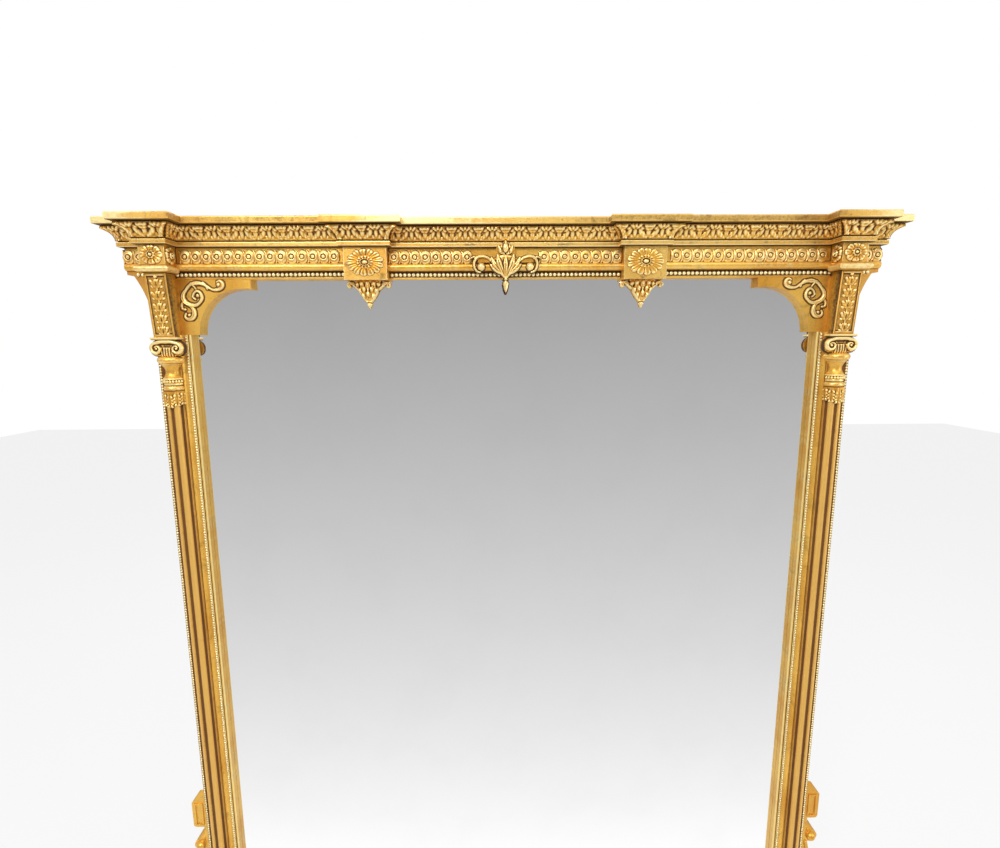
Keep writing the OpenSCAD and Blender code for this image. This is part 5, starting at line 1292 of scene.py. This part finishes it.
def husk_heights(u, v):
    """A chain of husks that hangs in a console's panel, v measured up from the panel's foot."""
    au = np.abs(u)
    parts = [band(u, v, [(0, 6), (0, 122)], [1.6, 2.0], [2.2, 2.8]), mound(u, v, 0, 126, 4.0, 4.0, 4.6)]
    for k, size in enumerate((0.78, 0.86, 0.94, 1.0, 0.92)):
        foot = 2 + k * 24.5
        parts += [mound(u, v, 0, foot + 18, 2.8, 4.6, 5.0),
                  *mounds(au, v, (6.8 * size, foot + 11, 4.6 * size, 10.0, 3.8, -30),
                          (11.2 * size, foot + 17, 3.2, 4.2, 4.6, -40), (3.0, foot + 15, 2.6, 7.4, 4.2, -10),
                          (10.4 * size, foot + 5.5, 2.8, 4.0, 2.8, -58))]
    return np.maximum.reduce(parts)


def panel_heights(u, v):
    """The console's front: a raised edge with a fine line in it, round the sunk panel."""
    edge = np.minimum(CONSOLE_HALF - np.abs(u), np.minimum(v, CONSOLE_H - v) * 0.85)
    rim = PANEL_SINK - 1.2 * np.exp(-((edge - 2.4) / 0.7) ** 2) - 1.6 * np.clip(1 - edge / 0.9, 0, 1)
    return np.where(edge < 4.6, rim, 0.0)


class MIRROR_OT_consoles(OrnamentOperator):
    """Make the consoles with their sunk panels and the husk chains in them"""
    bl_idname = "mirror.consoles"
    bl_label = "Consoles and husks"

    def execute(self, context):
        def lay(u, v, h):
            # The front leans forward towards its top, the back is flat against the stile
            y = np.where(h < -8, FACE, CONSOLE_Y + PANEL_SINK - CONSOLE_LEAN * v - h)
            return np.stack([COLUMN_X + u, y, CONSOLE_Z + v], axis=1)

        body = carving(panel_heights, -CONSOLE_HALF, CONSOLE_HALF, 0, CONSOLE_H, (0.92, 1.3), lay, back=9.0,
                       keep_ground=True, wall=0.06)
        pair("console_gilt", worn(body, (-900, 900, 0.24)), "carved gilding", "console", sharp=50)
        chain = softened(carving(husk_heights, -17.6, 17.6, 5, 129, 0.8, lay, back=0.4), 0.8, -0.12)
        pair("console_husks_carved", chain, "carved gilding", "console_husks", sharp=60)
        return {"FINISHED"}


def capital_heights(u, v):
    """Front of an Ionic capital: two volutes under one sagging roll, reeds between them."""
    au = np.abs(u)
    roll = [(0, 16.6), (7, 16.9), (14, 16.2)] + arc(21.5, 1.4, 12.2, 84, -320, 34, last_r=4.6)
    swell = np.sqrt(np.maximum(1 - (u / 17.5) ** 2, 0)) * np.clip((v + 17) / 6, 0, 1) ** 0.5
    return np.maximum.reduce([
        np.where(np.hypot(au - 21.5, v - 1.0) < 15.4, 2.6, GROUND),
        np.where((au < 26) & (v > -6) & (v < 21), 1.6, GROUND),
        band(au, v, roll, [5.0, 4.8, 4.4, 4.4, 4.2, 3.2, 2.2], [9.8, 9.8, 9.8, 9.2, 8.4, 7.2], blunt=0.4),
        mound(au, v, 21.5, 1.4, 4.2, 4.2, 8.0),
        np.where((au < 16.0) & (v > -16.8) & (v < 4), 5.0 * swell + 1.4 * np.cos(2 * math.pi * u / 5.6), GROUND)])


def cup_heights(u, v):
    """Drooping leaves round the cup over the shaft, the middle one the longest."""
    parts = [np.where(v > 5.0 + 0.10 * np.abs(u), 1.6, GROUND)]
    for k in (-2, -1, 0, 1, 2):
        mid, tip = k * 13.0, -6.5 + 3.2 * abs(k)
        parts.append(curl(u, v, [(mid, 28), (mid, 12), (mid, tip)], 4, [4.6, 6.0, 7.0, 5.6, 3.0],
                          [2.6, 3.4, 4.2, 3.4, 2.8], vein=1.4, vein_w=0.14, blunt=0.6))
        for side in (-1, 1):
            for up, out in ((21.0, 4.0), (14.0, 4.8), (7.0, 4.6), (1.0, 3.2)):
                parts.append(mound(u, v, mid + side * out, tip + up, 2.4, 4.2, 4.4, turn=side * 28))
    return np.maximum.reduce(parts)


REED_R = 7.2
REED_AT = 11.8  # how far a reed's middle lies from the column's axis
REED_TURNS = (-108, -36, 36, 108)
SHAFT_CORE = 14.3
SHAFT_STEPS = 72
VOLUTES_Z = 1611.5
ABACUS = (29.0, 21.0)  # half its width, its depth


def reeded_shaft():
    """The front half of a shaft of reeds, with painted shade in the grooves between the reeds and at its ends, and
    painted highlight on the reeds.
    """
    section, crest = [], []
    for i in range(SHAFT_STEPS + 1):
        a = math.pi * (1 + i / SHAFT_STEPS)
        r = SHAFT_CORE
        for turn in REED_TURNS:
            off = a - math.radians(270 + turn)
            inside = REED_R ** 2 - (REED_AT * math.sin(off)) ** 2
            if inside > 0 and math.cos(off) > 0:
                r = max(r, REED_AT * math.cos(off) + math.sqrt(inside))
        section.append((COLUMN_X + r * math.cos(a), FACE + r * math.sin(a)))
        # Painted shade in the grooves, painted highlight on the reeds
        crest.append(np.clip((r - 16.9) / 1.8, -1, 0.5))
    # Painted shade at either end of the shaft
    levels = ((SHAFT_Z, -0.8), (SHAFT_Z + 4, 0.0), (SHAFT_Z + 60, 0.1), (CUP_Z - 40, 0.1), (CUP_Z - 3, 0.0),
              (CUP_Z, -0.9))
    n, last, faces = len(section), (len(levels) - 1) * len(section), []
    for i in range(0, last, n):
        ring = [*range(i, i + n), i]
        faces += [(a, b, b + n, a + n) for a, b in zip(ring, ring[1:])]
    faces += [tuple(reversed(range(n))), tuple(range(last, last + n))]
    return Form([(x, y, z) for z, _ in levels for x, y in section], faces,
                np.clip([c + shade for _, shade in levels for c in crest], -1, 1))


class MIRROR_OT_columns(OrnamentOperator):
    """Make the capitals, the necks, the leaf cups and the reeded shafts"""
    bl_idname = "mirror.columns"
    bl_label = "Columns"

    def execute(self, context):
        self.capital()
        self.neck()
        self.cup()
        pair("shaft_gilt", reeded_shaft(), "matt gilding", "shaft", sharp=70)
        # Gilt fronts of the stile beside the shaft, with painted shade next to the shaft and over the strips, and a
        # pale inner edge painted as highlight and wear
        pair("stile_front_gilt", joined([
            skin(INNER, 724.5, SHAFT_Z, CONSOLE_Z - 6, FACE, left=0.5, right=-0.8, wide=1.4, mid=-0.2),
            skin(755.5, HALF, SHAFT_Z, RING_Z, FACE, right=-0.4, wide=3.4, mid=-0.55),
            skin(759.0, HALF, CONSOLE_Z, CAP_Z, FACE, right=-0.5, wide=3.4, mid=-0.5)]), "matt gilding", "")
        return {"FINISHED"}

    def capital(self):
        proud = 11.0  # of the volutes' ground over the stile
        front = carving(capital_heights, -38, 38, -17, 22.4, 0.85, on_front(COLUMN_X, VOLUTES_Z, FACE - proud),
                        back=proud, wall=-0.05)
        left, right, front_y = COLUMN_X - ABACUS[0], COLUMN_X + ABACUS[0], FACE - ABACUS[1]
        plan = [(left, FACE), (left, front_y), (right, front_y), (right, FACE)]
        # Painted shade under the abacus; the rest of it painted pale as highlight and rubbed wear
        abacus = moulding(plan, [(-1.5, CONSOLE_Z), (0.8, CONSOLE_Z - 0.6), (1.0, CONSOLE_Z - 3.0),
                                 (-1.0, CONSOLE_Z - 6.0), (-4.0, CONSOLE_Z - 6.1)],
                          painted_shade_and_highlight=lambda u, z: -1.4 if z < CONSOLE_Z - 5.2 else 0.35)
        pair("capital_carved", joined([front, abacus]), "carved gilding", "capital", sharp=60)

    def neck(self):
        """Lower ring, beaded ring, hollow and upper ring."""
        low_r, top_r, beads_r = 21.0, 23.0, 19.0
        line = [(15.0, LOW_RING_Z)] + arc(15.5, LOW_RING_Z + 6.0, 6.0, -90, 90, 12) + [
            (19.2, LOW_RING_Z + 13.5), (19.2, BEAD_RING_Z + 1.2), (18.4, BEAD_RING_Z + 3.0), (18.4, NECK_Z - 2.6),
            (low_r, NECK_Z - 1.0), (low_r, NECK_Z)]
        rise = RING_Z - NECK_Z
        dip = low_r - math.sqrt(low_r ** 2 - math.hypot(top_r - low_r, rise) ** 2 / 4)
        for i in range(1, 12):
            t = i / 12
            line.append((low_r + (top_r - low_r) * t - dip * (1 - (2 * t - 1) ** 2), NECK_Z + rise * t))
        line += [(top_r, RING_Z - 0.6), (20.25, RING_Z)] + arc(20.25, (RING_Z + CAPITAL_Z) / 2, 7.75, -90, 90, 14)
        forms = [turning(line, soften=0.4)]
        for k in range(10):
            a = math.pi + math.pi * (k + 0.5) / 10
            forms.append(ball(COLUMN_X + beads_r * math.cos(a), FACE + beads_r * math.sin(a), BEAD_RING_Z + 5.5, 3.3))
        pair("neck_gilt", joined(forms), "burnished gilding", "neck_turning", sharp=50)

    def cup(self):
        cone = turning([(19.0, CUP_Z), (18.8, CUP_Z + 3), (20.2, CUP_Z + 20), (20.2, LOW_RING_Z)])

        def round_cup(u, v, h):
            """Lays the leaves round the cup: u along its girth from the middle of the front."""
            r, a = 18.9 + 0.045 * v + h, u / 20.0 - math.pi / 2
            return np.stack([COLUMN_X + r * np.cos(a), FACE + r * np.sin(a), CUP_Z + v], axis=1)

        leaves = carving(cup_heights, -30, 30, -8, LOW_RING_Z - CUP_Z, 0.85, round_cup, back=0.6)
        pair("leaf_cup_carved", joined([cone, softened(leaves, 0.75, 0.0)]), "carved gilding", "leaf_cup", sharp=60)


class MIRROR_OT_mouldings(OrnamentOperator):
    """Make the mouldings round the glass"""
    bl_idname = "mirror.mouldings"
    bl_label = "Sight mouldings"

    def execute(self, context):
        slip = -GLASS_SET
        profile = arc(9.0, 0.0, 9.0, 193, 270, 8) + [(15, -9), (15, -12), (19.5, -14), (19.5, -17), (19.5, -27.5),
                                                     (19.5, slip), (0, slip)]

        # Painted shade at the back by the glass, along the edge and in the groove, and a little painted highlight
        # elsewhere
        def painted_shade_and_highlight(u, up):
            if up < slip + 1.5 or u < 0.5:
                return -1.0
            return -0.7 if 14.6 < u < 15.4 and up < -10.5 else 0.2

        path = [(INNER, SPANDREL_Z), (INNER, RAIL_TOP), (-INNER, RAIL_TOP), (-INNER, SPANDREL_Z)]
        for name, form in zip(("right", "bottom", "left"), lengths(path, profile, painted_shade_and_highlight=painted_shade_and_highlight)):
            piece(f"{name}_sight_moulding_gilt", stood(form), "burnished gilding", [f"{name}_sight_moulding"])
        # Painted shade over the recessed top sight fronts, darkest under the round moulding and at their ends, with a
        # pale lower edge
        front = dict(z0=SIGHT_TOP + 2.0, z1=TORUS_Z, low=0.3, wide=3.4, mid=-0.75)
        flat = [skin(-ROSETTE[0], ROSETTE[0], y=at(CENTRE_SLIP_SET), **front)]
        flat += both(skin(ROSETTE[1], INNER, y=at(SIDE_SLIP_SET), **front))
        piece("top_sight_front_gilt", flat, "burnished gilding")
        return {"FINISHED"}


class MIRROR_OT_blocks(OrnamentOperator):
    """Gild the fronts of the rosette blocks and the corner blocks"""
    bl_idname = "mirror.blocks"
    bl_label = "Block fronts"

    def execute(self, context):
        r0, r1, rd = ROSETTE
        c0, c1, cd = CORNER
        # Edges painted pale as highlight and wear; painted shade under the fillet and above the corner blocks' caps
        edge = dict(left=0.6, right=0.6, wide=2.2, mid=-0.02)
        piece("rosette_block_fronts_gilt", both(skin(r0, r1, SIGHT_TOP - 3, FILLET_Z, at(rd), low=0.5, **edge)),
              "fascia gilding")
        front = skin(c0, c1, CAP_Z + CAP_H, FILLET_Z, at(cd), **edge)
        plan = [(c0 - 3, FACE), (c0 - 3, at(cd) - 3), (c1 + 3, at(cd) - 3), (c1 + 3, FACE)]
        # Painted shade where the cap meets the block, its front a little pale
        cap = moulding(plan, [(-2.5, CAP_Z + CAP_H)] + arc(-0.6, CAP_Z + CAP_H / 2, 6.6, 75, -75, 10)
                       + [(-2.5, CAP_Z)], soften=0.2, painted_shade_and_highlight=lambda u, z: -1.0 if u < 0.2 else 0.12)
        piece("corner_block_fronts_gilt", both(front) + both(cap), "fascia gilding")
        return {"FINISHED"}


class MIRROR_PT_panel(bpy.types.Panel):
    """Lists the pieces in the order in which they are made"""
    bl_label = "Overmantel mirror"
    bl_idname = "MIRROR_PT_panel"
    bl_space_type = "VIEW_3D"
    bl_region_type = "UI"
    bl_category = "Mirror"

    def draw(self, context):
        for group in (context.scene.mirror_sizes, context.scene.mirror_colours):
            for name in group.bl_rna.properties.keys():
                if name not in {"rna_type", "name"}:
                    self.layout.prop(group, name)
        for op in OPERATORS:
            self.layout.operator(op.bl_idname)


OPERATORS = [MIRROR_OT_stage, MIRROR_OT_carcase, MIRROR_OT_cornice, MIRROR_OT_leaves, MIRROR_OT_coins,
             MIRROR_OT_beads, MIRROR_OT_flowers, MIRROR_OT_pendants, MIRROR_OT_centre, MIRROR_OT_spandrels,
             MIRROR_OT_consoles, MIRROR_OT_columns, MIRROR_OT_mouldings, MIRROR_OT_blocks]
CLASSES = [FrameSizes, GiltColours, *OPERATORS, MIRROR_PT_panel]


def register():
    for cls in CLASSES:
        bpy.utils.register_class(cls)
    bpy.types.Scene.mirror_sizes = PointerProperty(type=FrameSizes)
    bpy.types.Scene.mirror_colours = PointerProperty(type=GiltColours)


def unregister():
    del bpy.types.Scene.mirror_colours
    del bpy.types.Scene.mirror_sizes
    for cls in reversed(CLASSES):
        bpy.utils.unregister_class(cls)


def main():
    register()
    make_finishes()
    for op in OPERATORS:
        group, name = op.bl_idname.split(".")
        getattr(getattr(bpy.ops, group), name)()


if __name__ == "__main__":
    main()
